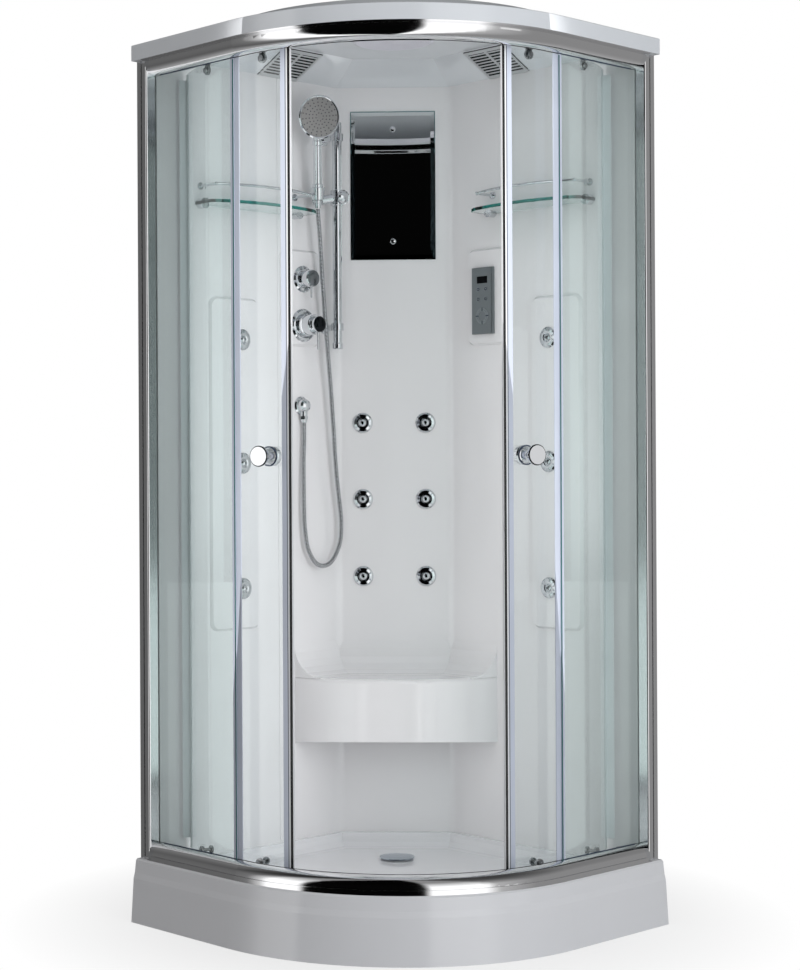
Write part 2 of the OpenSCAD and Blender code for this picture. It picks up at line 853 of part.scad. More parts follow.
module door_knob() {
    face = door_r + glass_t / 2;
    back = door_r - glass_t / 2;
    r = knob_d / 2;
    off_arc(knob_at, knob_z) {
        rotate_extrude() polygon([[0, back - 16], [r - 3, back - 16], [r - 1, back - 14], [r - 1, back - 4],
            [r - 3, back - 2], [r - 4, back - 0.6], [5.5, back - 0.6], [5.5, face], [r - 4, face],
            [r - 3, face + 1], [r - 3, face + 4], [r - 4, face + 6], [r - 7, face + 20], [r - 7, face + 28],
            [r - 3, face + 35], [r, face + 37], [r, face + 43], [r - 1.5, face + 45], [0, face + 45]]);
    }
}

module roller_mount(a) {
    inner = door_r - glass_t / 2;
    outer = door_r + glass_t / 2;
    axle_end = wheel_path + wheel_half + 0.1;
    off_arc(a, wheel_z) translate([0, 0, inner - 4]) cylinder(h = axle_end + 0.5 - inner + 4, r = 3);
    off_arc(a, wheel_z) translate([0, 0, axle_end]) cylinder(h = 0.5, r = 5);
    off_arc(a, wheel_z) translate([0, 0, inner - 6]) cylinder(h = 6 - gap, r = 8);
    off_arc(a, door_top - 15) translate([0, 0, inner - 6]) cylinder(h = 6 - gap, r = 11);
    off_arc(a, (wheel_z + door_top - 15) / 2) translate([-(wheel_z - door_top + 15) / 2, -7, inner - 6])
        cube([wheel_z - door_top + 15, 14, 5.5]);
    off_arc(a, door_top - 15) translate([0, 0, inner - 4]) cylinder(h = glass_t + 7, r = 4.2);
    off_arc(a, door_top - 15) translate([0, 0, outer + gap]) cylinder(h = 3, r = 6.5);
    off_arc(a, guide_z) translate([0, 0, inner - 5]) cylinder(h = 5 - gap, r = 9);
    off_arc(a, guide_z) translate([0, 0, inner - 4]) cylinder(h = wheel_path - inner + 4, r = 4);
    off_arc(a, guide_z) translate([0, 0, wheel_path - wheel_half])
        cylinder(h = 2 * wheel_half, r = wheel_r);
}

module roller_mounts() {
    roller_mount(first_wheel);
    roller_mount(second_wheel);
}

module door_wheel(a) {
    off_arc(a, wheel_z) translate([0, 0, wheel_path]) rotate_extrude() polygon([[3 + fit, -wheel_half],
        [wheel_r - 1, -wheel_half], [wheel_r, 1 - wheel_half], [wheel_r, wheel_half - 1],
        [wheel_r - 1, wheel_half], [3 + fit, wheel_half]]);
}

module left_door_glass() {
    color("lightcyan", 0.35) left_door() door_glass();
}

module right_door_glass() {
    color("lightcyan", 0.35) right_door() door_glass();
}

module left_door_seals() {
    color("gainsboro") left_door() door_seals();
}

module right_door_seals() {
    color("gainsboro") right_door() door_seals();
}

module left_door_knob() {
    color("silver") left_door() door_knob();
}

module right_door_knob() {
    color("silver") right_door() door_knob();
}

module left_roller_mounts() {
    color("dimgray") left_door() roller_mounts();
}

module right_roller_mounts() {
    color("dimgray") right_door() roller_mounts();
}

module left_front_wheel() {
    color("white") left_door() door_wheel(first_wheel);
}

module left_rear_wheel() {
    color("white") left_door() door_wheel(second_wheel);
}

module right_front_wheel() {
    color("white") right_door() door_wheel(first_wheel);
}

module right_rear_wheel() {
    color("white") right_door() door_wheel(second_wheel);
}

// Mirror

module mirror_slab(depth, inset) {
    translate([-mirror_w / 2 + inset, -mirror_h / 2 + inset, depth])
        cube([mirror_w - 2 * inset, mirror_h - 2 * inset, hair]);
}

module wall_mirror() {
    color("lightsteelblue") off_column(0, mirror_z) difference() {
        union() {
            translate([-mirror_w / 2, -mirror_h / 2, 0]) cube([mirror_w, mirror_h, 3]);
            hull() {
                mirror_slab(2.5, 0);
                mirror_slab(5 - hair, 12);
            }
        }
        for (s = [-1, 1]) translate([0, s * (mirror_h / 2 - 47), -1]) cylinder(h = 8, r = 3);
    }
}

module mirror_fixings() {
    color("silver") for (s = [-1, 1]) off_column(0, mirror_z + s * (mirror_h / 2 - 47)) {
        translate([0, 0, -9]) cylinder(h = 15, r = 2.5);
        translate([0, 0, 5]) rotate_extrude() polygon([[0, 0], [7.5, 0], [7.5, 2], [5.5, 5], [0, 5.8]]);
    }
}

// Riser rail and hand shower

module riser_rail() {
    color("silver") left_wall() {
        difference() {
            translate([rail_p, rail_q, rail_low]) cylinder(h = rail_top - rail_low, r = rail_d / 2);
            translate([rail_p, rail_q, rail_top]) rotate([30, 0, 0])
                translate([-rail_d, -rail_d, -2]) cube([2 * rail_d, 2 * rail_d, 2 * rail_d]);
        }
        translate([rail_p, rail_q, rail_low - 3]) rotate_extrude() polygon([[0, 0], [rail_d / 2, 0],
            [rail_d / 2 + 2, 2], [rail_d / 2 + 2, 14], [rail_d / 2, 16], [0, 16]]);
        for (z = rail_brackets) {
            translate([rail_p, rail_q, z - 9]) cylinder(h = 18, r = rail_d / 2 + 4);
            off_wall(rail_p, z, panel_face) cylinder(h = rail_q - panel_face, r = 8);
            off_wall(rail_p, z, panel_face) rotate_extrude() polygon([[0, 0], [16, 0], [16, 3], [13, 6], [0, 6]]);
        }
    }
}

module slider_pin(r, h) {
    translate(knuckle) rotate([0, -90, 0]) cylinder(h = h, r = r);
}

module rail_slider() {
    arm = [room_place(rail_p, rail_q)[0], room_place(rail_p, rail_q)[1], slider_z];
    sleeve_r = rail_d / 2 + 5;
    color("silver") difference() {
        union() {
            translate([arm[0], arm[1], slider_z - 20]) rotate_extrude() polygon([[0, 0], [sleeve_r - 2, 0],
                [sleeve_r, 2], [sleeve_r, 38], [sleeve_r - 2, 40], [0, 40]]);
            between(arm, knuckle + [8, 0, 0], 12);
            translate(knuckle) rotate([0, 90, 0]) cylinder(h = 14, r = 13);
            slider_pin(4, 13);
            left_wall() off_wall(rail_p, slider_z, rail_q) {
                cylinder(h = sleeve_r + 6, r = 9);
                translate([0, 0, sleeve_r + 2]) rotate_extrude() polygon([[0, 0], [15, 0], [18, 3], [18, 7],
                    [15, 12], [9, 15], [0, 16]]);
            }
        }
        translate([arm[0], arm[1], slider_z - 30]) cylinder(h = 60, r = rail_d / 2 + fit);
    }
}

// Place in the cabin's frame of a point given on the left wall
function room_place(p, q) = [(q - p) / sqrt(2), room_corner_y - (p + q) / sqrt(2)];

module between(a, b, r) {
    run = b - a;
    flat = norm([run[0], run[1]]);
    translate(a) rotate([0, atan2(flat, run[2]), atan2(run[1], run[0])]) cylinder(h = norm(run), r = r);
}

// The hand shower's own frame: from the hose end, local Z up its handle
module in_hand() {
    translate([hand_x, hand_y, hand_z]) rotate([hand_lean, 0, 0]) children();
}

// Turns local Z out of the middle of the spray head
module on_head() {
    rotate([0, 0, head_turn]) translate([0, -10, head_up]) rotate([90 - head_tilt, 0, 0]) children();
}

module handset_holder() {
    ring_z = 22;
    color("silver") difference() {
        union() {
            translate(knuckle + [-gap, 0, 0]) rotate([0, -90, 0]) cylinder(h = 11, r = 13);
            in_hand() translate([0, 0, ring_z]) cylinder(h = 30, r1 = 16, r2 = 18);
            translate(knuckle + [-6, 0, 0]) rotate([90, 0, 0]) cylinder(h = 18, r = 5.5);
        }
        in_hand() translate([0, 0, ring_z - 1]) cylinder(h = 32, r = 13);
        slider_pin(4 + fit, 30);
    }
}

module handset() {
    color("silver") in_hand() {
        difference() {
            rotate_extrude() polygon([[0, 20], [9, 20], [12.9, 23], [12.9, 52.2], [13.6, 53.4], [13.6, 60],
                [11.5, 62], [10.5, 110], [10, grip_len - 20], [12.5, grip_len - 18], [12.5, grip_len - 8],
                [10.5, grip_len - 6], [10, grip_len + 14], [0, grip_len + 14]]);
            translate([0, 0, 19]) cylinder(h = 40, r = 5);
        }
        on_head() rotate_extrude() polygon([[0, -22], [16, -21],
            [30, -16], [head_d / 2 - 6, -9], [head_d / 2 - 1, -3], [head_d / 2, 2], [head_d / 2, 6],
            [head_d / 2 - 3, 8], [head_d / 2 - 5, 7], [head_d / 2 - 5, 4], [0, 4]]);
        translate([0, 0, grip_len + 8]) cylinder(h = 30, r1 = 10, r2 = 8);
    }
}

module handset_face() {
    face_r = head_d / 2 - 5 - gap;
    color("gray") in_hand() on_head() {
        translate([0, 0, 4]) cylinder(h = 3.4, r = face_r);
        for (ring = [1:4], k = [0:6 * ring - 1])
            rotate([0, 0, k * 360 / (6 * ring)]) translate([ring * (face_r - 6) / 4, 0, 7])
                cylinder(h = 2, r = 1.5, $fn = 6);
    }
}

module handset_nut() {
    color("silver") in_hand() difference() {
        rotate_extrude() polygon([[0, 0], [hose_d / 2 + 1, 0], [hose_d / 2 + 3.5, 12], [hose_d / 2 + 4.5, 14],
            [hose_d / 2 + 4.5, 20], [0, 20]]);
        translate([0, 0, -1]) cylinder(h = 22, r = hose_bore_r);
    }
}

module wall_outlet() {
    nut_q = hose_route[len(hose_route) - 1][1];
    hose_end = hose_route[len(hose_route) - 1][2];
    color("silver") left_wall() {
        off_wall(outlet_p, outlet_z, panel_face) rotate_extrude() polygon([[0, 0], [23.5, 0], [23.5, 3], [20, 6],
            [17, 7], [16.5, 18], [13, 24], [7, 27], [0, 28]]);
        off_wall(outlet_p, outlet_z, panel_gap - 5) cylinder(h = panel_t + 6, r = 10);
        difference() {
            union() {
                translate([outlet_p, nut_q, hose_end + 12]) cylinder(h = outlet_z - hose_end - 12, r = 9);
                translate([outlet_p, nut_q, hose_end + 8]) cylinder(h = 8, r = 11, $fn = 6);
                translate([outlet_p, nut_q, hose_end]) cylinder(h = 9, r1 = hose_d / 2 + 1.5, r2 = 9.5);
            }
            translate([outlet_p, nut_q, hose_end - 1]) cylinder(h = 30, r = hose_bore_r);
        }
    }
}

// Hose, swept as one ribbed tube along its chosen points

function weave(a, b, c, d, t) = 0.5 * (2 * b + (c - a) * t + (2 * a - 5 * b + 4 * c - d) * t * t
    + (3 * b - a - 3 * c + d) * t * t * t);
function route_at(s) =
    let (n = len(hose_route) - 1, i = min(floor(s * n), n - 1), t = s * n - i)
    weave(hose_route[max(i - 1, 0)], hose_route[i], hose_route[i + 1], hose_route[min(i + 2, n)], t);
function unit(v) = v / norm(v);
function heading(s) = unit(route_at(min(s + 0.002, 1)) - route_at(max(s - 0.002, 0)));
function tube_ring(s, r) =
    let (at = route_at(s), ahead = s < 0.02 || s > 0.98 ? [0, 0, -1] : heading(s),
        side = unit(cross(ahead, [0, 1, 0])), up = cross(side, ahead))
    [for (k = [0:hose_sides - 1]) at + r * (cos(k * tau_step) * side + sin(k * tau_step) * up)];
function strip(first, second) =
    [for (k = [0:hose_sides - 1])
        let (m = (k + 1) % hose_sides)
        each [[first + k, first + m, second + m], [first + k, second + m, second + k]]];

module shower_hose() {
    rings = 2 * hose_ribs;
    bores = 80;
    skin = [for (i = [0:rings]) each tube_ring(i / rings, hose_d / 2 - (i % 2 == 0 ? 0.9 : 0))];
    bore = [for (i = [0:bores]) each tube_ring(i / bores, hose_bore_r)];
    first_bore = len(skin);
    faces = [
        for (i = [0:rings - 1]) each strip((i + 1) * hose_sides, i * hose_sides),
        for (i = [0:bores - 1])
            each strip(first_bore + i * hose_sides, first_bore + (i + 1) * hose_sides),
        each strip(0, first_bore),
        each strip(first_bore + bores * hose_sides, rings * hose_sides)
    ];
    color("silver") left_wall() polyhedron(points = concat(skin, bore), faces = faces);
}

// Valves

module valve_body() {
    color("goldenrod") left_wall() {
        translate([valve_p - 15, 5, mixer_z - 32]) cube([30, panel_gap - 6, diverter_z - mixer_z + 60]);
        off_wall(valve_p, mixer_z, panel_gap - 3) cylinder(h = relief_face - panel_gap + 12, r = 14);
        off_wall(valve_p, diverter_z, panel_gap - 3) cylinder(h = relief_face - panel_gap + 12, r = 14);
        off_wall(valve_p, mixer_z, panel_gap) cylinder(h = mixer_pivot_q - 26 - panel_gap, r = 8);
        off_wall(valve_p, diverter_z, panel_gap) cylinder(h = 46, r = 8);
        for (z = inlet_rows)
            translate([valve_p - 14, pipe_q, z]) rotate([0, -90, 0]) cylinder(h = 26, r = inlet_r);
    }
}

module rosette(r, z) {
    off_wall(valve_p, z, relief_face) rotate_extrude() polygon([[14.3, 0], [r, 0], [r, 2], [r - 4, 6],
        [r - 9, 7], [r - 9, 9.5], [14.3, 9.5]]);
}

module valve_rosettes() {
    color("silver") left_wall() {
        rosette(mixer_rosette_r, mixer_z);
        rosette(diverter_rosette_r, diverter_z);
    }
}

module diverter_knob() {
    color("silver") left_wall() {
        off_wall(valve_p, diverter_z, relief_face + 10) difference() {
            rotate_extrude() polygon([[0, 0], [19, 0], [20, 1], [20, 14], [22, 16], [22, 26], [20, 29.5], [0, 30]]);
            translate([0, 0, -1]) cylinder(h = 25, r = 8 + fit);
            cylinder(h = 1.5, r = 15);
        }
        translate([valve_p, relief_face + 31, diverter_z - 47]) cylinder(h = 27, r = 3);
        translate([valve_p, relief_face + 31, diverter_z - 47]) sphere(r = 3, $fn = 24);
    }
}

module mixer_sleeve() {
    start = relief_face + 10;
    depth = mixer_pivot_q - start;
    color("silver") left_wall() off_wall(valve_p, mixer_z, start) difference() {
        rotate_extrude() polygon([[0, 0], [28, 0], [29, 1], [29, 10], [26, 12], [26, depth - 2], [25, depth], [0, depth]]);
        translate([0, 0, 13]) cylinder(h = depth, r = 21 + fit);
        translate([0, 0, -1]) cylinder(h = 30, r = 8 + fit);
        translate([0, 0, -1]) cylinder(h = 3, r = 15);
    }
}

module mixer_lever() {
    color("silver") left_wall() {
        off_wall(valve_p, mixer_z, mixer_pivot_q) {
            intersection() {
                sphere(r = 21);
                translate([0, 0, -16]) cylinder(h = 19, r = 22);
            }
            rotate_extrude() polygon([[0, 0], [19.5, 0], [19.5, 15], [17.5, 18], [12, 20], [0, 20.5]]);
        }
        translate([valve_p, mixer_pivot_q + 8, mixer_z - 62]) cylinder(h = 46, r = 3);
        translate([valve_p, mixer_pivot_q + 8, mixer_z - 62]) sphere(r = 3, $fn = 24);
    }
}

// Shelves

module shelf_plan(inset) {
    half = shelf_w / 2 - inset;
    bow_r = (pow(shelf_w / 2, 2) + pow(shelf_bow, 2)) / (2 * shelf_bow);
    corner = 22;
    intersection() {
        translate([-half, panel_face + 2.5]) square([2 * half, shelf_q - panel_face]);
        translate([0, shelf_q - bow_r]) circle(bow_r - inset, $fn = 256);
        union() {
            translate([-half + corner, 0]) square([2 * half - 2 * corner, shelf_q + 1]);
            translate([-half, 0]) square([2 * half, shelf_q - shelf_bow - corner]);
            for (s = [-1, 1])
                translate([s * (half - corner), shelf_q - shelf_bow - corner]) circle(corner + 2);
        }
    }
}

module glass_shelves() {
    color("paleturquoise", 0.6) both_walls() translate([shelf_p, 0, shelf_z]) linear_extrude(shelf_t) shelf_plan(0);
}

module shelf_fittings() {
    bow_r = (pow(guard_half, 2) + pow(guard_bow, 2)) / (2 * guard_bow);
    sweep = 2 * asin(guard_half / bow_r);
    color("silver") both_walls() translate([shelf_p, 0, 0]) {
        for (s = [-1, 1]) {
            translate([s * guard_half, panel_face, shelf_z]) difference() {
                translate([0, 0, -9]) rotate([-90, 0, 0]) translate([0, -13, 0]) cylinder(h = 22, r = 13);
                translate([-20, 2, 0]) cube([40, 30, shelf_t + 0.4]);
            }
            translate([s * guard_half, 0, rail_z]) {
                translate([0, panel_face, 0]) rotate([-90, 0, 0]) cylinder(h = guard_q - panel_face, r = 3.5);
                translate([0, panel_face, 0]) rotate([-90, 0, 0]) cylinder(h = 4, r = 9);
                translate([0, guard_q, 0]) sphere(r = 5);
            }
        }
        translate([0, guard_q + guard_bow - bow_r, rail_z]) rotate([0, 0, 90 - sweep / 2])
            rotate_extrude(angle = sweep, $fn = 128) translate([bow_r, 0]) circle(3.5);
    }
}

// Control panel

module panel_keys(grow) {
    for (at = keys) off_wall(at[0], at[1], relief_face + panel_box_t - 5) cylinder(h = 8, r = 6 + grow);
}

module control_panel() {
    w = panel_box[1] - panel_box[0];
    h = panel_box[3] - panel_box[2];
    color("gray") right_wall() difference() {
        translate([panel_box[0], relief_face, panel_box[2]]) {
            cube([w, panel_box_t - 2, h]);
            translate([2, 0, 2]) cube([w - 4, panel_box_t, h - 4]);
        }
        panel_keys(2 * fit);
        off_wall(ring_at[0], ring_at[1], relief_face + panel_box_t - 5) difference() {
            cylinder(h = 8, r = 21 + 2 * fit);
            translate([0, 0, -1]) cylinder(h = 10, r = 12 - 2 * fit);
        }
        translate([353, relief_face + panel_box_t - 1, 1547]) cube([35, 3, 18]);
    }
}

module key(at) {
    color("lightgray") right_wall() off_wall(at[0], at[1], relief_face + panel_box_t - 3.5) rotate_extrude()
        polygon([[0, 0], [6, 0], [6, 4.2], [5.5, 4.7], [0, 4.2]]);
}

module upper_left_key() { key(keys[0]); }
module upper_right_key() { key(keys[1]); }
module lower_left_key() { key(keys[2]); }
module lower_right_key() { key(keys[3]); }

module keypad_ring() {
    color("lightgray") right_wall() off_wall(ring_at[0], ring_at[1], relief_face + panel_box_t - 3.5)
        rotate_extrude() polygon([[12, 0], [21, 0], [21, 4], [20.4, 4.6], [12.6, 4.6], [12, 4]]);
}

// Jets

module jet_housing(ball, depth) {
    difference() {
        rotate_extrude() polygon([[0, -depth], [jet_body_r, -depth], [jet_body_r, 0], [jet_d / 2, 0],
            [jet_d / 2, 2.5], [jet_d / 2 - 4, 5.5], [eye_r + 4, 7], [eye_r, 7], [eye_r - 2, 5.8], [0, 5.8]]);
        if (!ball) sphere(r = eye_r + 0.08);
        if (!ball) translate([0, 0, -8]) cylinder(h = 20, r = eye_r - 2.4);
    }
    if (ball) translate([0, 0, 2]) difference() {
        sphere(r = eye_r - 2);
        translate([0, 0, 3]) cylinder(h = 12, r = 3);
    }
}

module jet_housings() {
    color("silver") {
        for (z = jet_rows, s = [-1, 1]) off_column(s * jet_x, z) {
            jet_housing(false, jet_depth - 6);
            translate([0, 0, -jet_depth]) cylinder(h = 8, r = 8);
        }
        both_walls() for (z = side_jet_rows) off_wall(side_jet_p, z, relief_face) jet_housing(true, side_jet_depth);
    }
}

module eyeball(s, row) {
    color("silver") off_column(s * jet_x, jet_rows[row]) difference() {
        intersection() {
            sphere(r = eye_r);
            translate([0, 0, -eye_r + 1.5]) cylinder(h = 2 * eye_r - 2, r = eye_r + 1);
        }
        translate([0, 0, 2]) cylinder(h = eye_r, r = 3.2);
    }
}

module upper_left_eyeball() { eyeball(-1, 0); }
module upper_right_eyeball() { eyeball(1, 0); }
module middle_left_eyeball() { eyeball(-1, 1); }
module middle_right_eyeball() { eyeball(1, 1); }
module lower_left_eyeball() { eyeball(-1, 2); }
module lower_right_eyeball() { eyeball(1, 2); }

module water_pipes() {
    back = column_y + jet_depth + 12;
    turn_p = (room_corner_y - back) * sqrt(2) - pipe_q;
    turn_x = (pipe_q - turn_p) / sqrt(2);
    color("ivory") {
        for (s = [-1, 1]) {
            top_z = s < 0 ? diverter_z : jet_rows[0];
            between([s * jet_x, back, jet_rows[2] - 40], [s * jet_x, back, top_z], 10);
            for (z = jet_rows) between([s * jet_x, back, z], [s * jet_x, column_y + jet_depth, z], 9);
            between([s * jet_x, back, side_jet_rows[1]], [s * turn_x * -1, back, side_jet_rows[1]], pipe_r);
        }
        between([-jet_x, back, jet_rows[0] - 40], [jet_x, back, jet_rows[0] - 40], pipe_r);
        between([-jet_x, back, diverter_z], [turn_x, back, diverter_z], pipe_r);
        left_wall() {
            between([turn_p, pipe_q, diverter_z], [valve_p - 15, pipe_q, diverter_z], pipe_r);
            between([outlet_p, pipe_q, outlet_z], [outlet_p, pipe_q, mixer_z - 32], pipe_r);
            between([outlet_p, pipe_q, outlet_z], [outlet_p, panel_gap - 5, outlet_z], pipe_r);
            translate([turn_p, pipe_q, diverter_z]) sphere(r = pipe_r);
        }
        both_walls() {
            translate([turn_p, pipe_q, side_jet_rows[1]]) sphere(r = pipe_r);
            between([turn_p, pipe_q, side_jet_rows[1]], [side_jet_p, pipe_q, side_jet_rows[1]], pipe_r);
            between([side_jet_p, pipe_q, side_jet_rows[2] - 12], [side_jet_p, pipe_q, side_jet_rows[0] + 12], pipe_r);
            for (z = side_jet_rows)
                between([side_jet_p, pipe_q, z], [side_jet_p, relief_face - side_jet_depth, z], 7);
        }
    }
}

shower_tray();
tray_frame();
levelling_feet();
waste_trap();
waste_cover();
left_wall_panel();
right_wall_panel();
back_column();
roof();
vent_grilles();
ceiling_lamp();
top_track();
bottom_track();
track_end_caps();
wall_posts();
fixed_glasses();
fixed_glass_seals();
left_door_glass();
right_door_glass();
left_door_seals();
right_door_seals();
left_door_knob();
right_door_knob();
left_roller_mounts();
right_roller_mounts();
left_front_wheel();
left_rear_wheel();
right_front_wheel();
right_rear_wheel();
wall_mirror();
mirror_fixings();
riser_rail();
rail_slider();
handset_holder();
handset();
handset_face();
handset_nut();
shower_hose();
wall_outlet();
valve_body();
valve_rosettes();
diverter_knob();
mixer_sleeve();
mixer_lever();
glass_shelves();
shelf_fittings();
control_panel();
keypad_ring();
upper_left_key();
upper_right_key();
lower_left_key();
lower_right_key();
jet_housings();
water_pipes();
upper_left_eyeball();
upper_right_eyeball();
middle_left_eyeball();
middle_right_eyeball();
lower_left_eyeball();
lower_right_eyeball();
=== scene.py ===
"""Finishes for a quarter-round shower cabin: stage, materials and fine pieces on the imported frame."""
import math

import bpy
from mathutils import Matrix, Vector


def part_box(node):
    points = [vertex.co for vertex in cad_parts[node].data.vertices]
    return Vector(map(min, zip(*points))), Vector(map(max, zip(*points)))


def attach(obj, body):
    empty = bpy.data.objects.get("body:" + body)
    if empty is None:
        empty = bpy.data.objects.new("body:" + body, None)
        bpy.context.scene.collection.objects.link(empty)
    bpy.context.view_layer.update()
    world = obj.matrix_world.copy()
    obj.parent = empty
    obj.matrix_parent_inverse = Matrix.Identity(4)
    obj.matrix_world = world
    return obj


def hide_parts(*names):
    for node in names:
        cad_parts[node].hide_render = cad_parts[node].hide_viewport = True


bl_info = {
    "name": "Shower Cabin Finishes",
    "version": (1, 0, 0),
    "blender": (4, 5, 0),
    "location": "View3D > Sidebar > Shower Cabin",
    "description": "Dresses the quarter-round shower cabin's frame: glass, chrome, acrylic and small parts",
    "category": "Object",
}

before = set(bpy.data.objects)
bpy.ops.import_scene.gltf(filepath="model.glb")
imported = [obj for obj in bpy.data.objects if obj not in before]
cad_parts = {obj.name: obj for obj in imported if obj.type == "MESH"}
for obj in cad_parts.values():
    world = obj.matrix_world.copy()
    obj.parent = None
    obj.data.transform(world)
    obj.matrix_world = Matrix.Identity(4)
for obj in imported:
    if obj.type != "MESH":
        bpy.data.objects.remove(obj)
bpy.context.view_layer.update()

# Places in the cabin's frame, in metres: p along a side wall from the room corner, q out from it
ROOM_CORNER_Y = 0.5287006
HALF = 1 / math.sqrt(2)
OUTWARD = {"left": Vector((HALF, -HALF, 0)), "right": Vector((-HALF, -HALF, 0))}
# How far out a wall panel's face and its raised field's face stand, and the walls' top
PANEL_FACE = 0.035
FIELD_FACE = 0.043
WALL_TOP = 2.067
EYEBALL_NAMES = [f"{row}_{side}_eyeball" for row in ("upper", "middle", "lower") for side in ("left", "right")]


def on_wall(side, p, q, z):
    """The point p along a side wall, q out from it and z up."""
    x = (q - p) * HALF
    return Vector((x if side == "left" else -x, ROOM_CORNER_Y - (p + q) * HALF, z))


def turned(side):
    """The matrix whose X runs along a side wall, Y out of it and Z up, mirrored for neither wall."""
    out = OUTWARD[side]
    along = out.cross(Vector((0, 0, 1)))
    return Matrix((along, out, Vector((0, 0, 1)))).transposed()


# Sizes and colours that a user would change

class CabinSizes(bpy.types.PropertyGroup):
    hose_diameter: bpy.props.FloatProperty(
        name="Hose diameter", description="Outer diameter of the shower hose", default=0.012, unit="LENGTH")
    hose_pitch: bpy.props.FloatProperty(
        name="Hose pitch", description="Distance from one turn of the hose's steel strip to the next",
        default=0.0034, unit="LENGTH")
    gasket_height: bpy.props.FloatProperty(
        name="Gasket height", description="How far the panes' gaskets show beyond a track's lip",
        default=0.0016, unit="LENGTH")
    nozzle_radius: bpy.props.FloatProperty(
        name="Nozzle radius", description="Radius of a rubber nozzle on the spray plate",
        default=0.0013, unit="LENGTH")
    lamp_ring_pitch: bpy.props.FloatProperty(
        name="Lamp ring pitch", description="Distance between the rings moulded in the lamp's lens",
        default=0.006, unit="LENGTH")


def colour(name, description, value):
    return bpy.props.FloatVectorProperty(
        name=name, description=description, subtype="COLOR", size=3, min=0, max=1, default=value)


class CabinColours(bpy.types.PropertyGroup):
    tray: colour("Tray", "Colour of the moulded tray", (0.80, 0.80, 0.82))
    walls: colour("Walls", "Colour of the wall panels, the column and the seat", (0.82, 0.81, 0.82))
    roof: colour("Roof", "Colour of the roof", (0.76, 0.78, 0.81))
    chrome: colour("Chrome", "Colour of polished chrome", (0.78, 0.79, 0.81))
    fittings: colour("Fittings", "Colour of the inner fittings' chrome", (0.70, 0.72, 0.74))
    track: colour("Tracks", "Colour of the bright aluminium tracks and posts", (0.82, 0.82, 0.83))
    glass: colour("Fixed glass", "Tint of the fixed panes", (0.90, 0.955, 0.945))
    door_glass: colour("Door glass", "Tint of the sliding panes", (0.915, 0.955, 0.955))
    glass_edge: colour("Glass edge", "Colour of a cut glass edge", (0.02, 0.12, 0.12))
    shelf_edge: colour("Shelf edge", "Colour of the shelves' polished edge", (0.02, 0.42, 0.36))
    seal: colour("Seals", "Colour of the vinyl seals", (0.58, 0.62, 0.72))
    panel: colour("Control panel", "Colour of the brushed panel front", (0.23, 0.255, 0.265))
    rubber: colour("Nozzles", "Colour of the soft spray nozzles", (0.10, 0.10, 0.11))


def sizes():
    return bpy.context.scene.cabin_sizes


def colours():
    return bpy.context.scene.cabin_colours


# Shader groups

def new_group(name, inputs, outputs):
    group = bpy.data.node_groups.new(name, "ShaderNodeTree")
    for label, kind, value in inputs:
        socket = group.interface.new_socket(label, in_out="INPUT", socket_type=kind)
        if value is not None:
            socket.default_value = value
    for label, kind in outputs:
        group.interface.new_socket(label, in_out="OUTPUT", socket_type=kind)
    return group, group.nodes.new("NodeGroupInput"), group.nodes.new("NodeGroupOutput")


def feed(tree, value, socket):
    """Links a node's output into a socket, or sets a plain value on it."""
    if isinstance(value, bpy.types.NodeSocket):
        tree.links.new(value, socket)
    elif value is not None:
        socket.default_value = value


def math_node(tree, operation, a, b=None, c=None):
    node = tree.nodes.new("ShaderNodeMath")
    node.operation = operation
    for i, value in enumerate((a, b, c)):
        feed(tree, value, node.inputs[i])
    return node.outputs[0]


def vector_node(tree, operation, a, b=None):
    node = tree.nodes.new("ShaderNodeVectorMath")
    node.operation = operation
    for i, value in enumerate((a, b)):
        feed(tree, value, node.inputs[i])
    return node.outputs["Value" if operation in {"DOT_PRODUCT", "LENGTH", "DISTANCE"} else "Vector"]


def map_range(tree, value, start, end, low, high):
    """A value mapped from start..end to low..high, and held there outside them."""
    node = tree.nodes.new("ShaderNodeMapRange")
    feed(tree, value, node.inputs["Value"])
    for label, level in (("From Min", start), ("From Max", end), ("To Min", low), ("To Max", high)):
        node.inputs[label].default_value = level
    return node.outputs["Result"]


def colour_ramp(tree, factor, stops, interpolation="LINEAR"):
    """A colour ramp with stops of (place, colour)."""
    node = tree.nodes.new("ShaderNodeValToRGB")
    tree.links.new(factor, node.inputs["Fac"])
    node.color_ramp.interpolation = interpolation
    elements = node.color_ramp.elements
    elements.remove(elements[-1])
    for i, (place, value) in enumerate(stops):
        stop = elements[0] if i == 0 else elements.new(place)
        stop.position = place
        stop.color = (*value, 1)
    return node.outputs["Color"]


def noise(tree, scale, detail=2.0, distortion=0.0, place=None):
    node = tree.nodes.new("ShaderNodeTexNoise")
    feed(tree, scale, node.inputs["Scale"])
    node.inputs["Detail"].default_value = detail
    node.inputs["Distortion"].default_value = distortion
    tree.links.new(place or object_coordinates(tree), node.inputs["Vector"])
    return node.outputs["Fac"]


def object_coordinates(tree):
    return tree.nodes.new("ShaderNodeTexCoord").outputs["Object"]


def blended(tree, factor, first, second):
    """A colour that goes from first to second, plain colours or sockets, by a factor."""
    mix = tree.nodes.new("ShaderNodeMix")
    mix.data_type = "RGBA"
    tree.links.new(factor, mix.inputs["Factor"])
    for label, value in (("A", first), ("B", second)):
        feed(tree, value if isinstance(value, bpy.types.NodeSocket) else (*value, 1), mix.inputs[label])
    return mix.outputs["Result"]


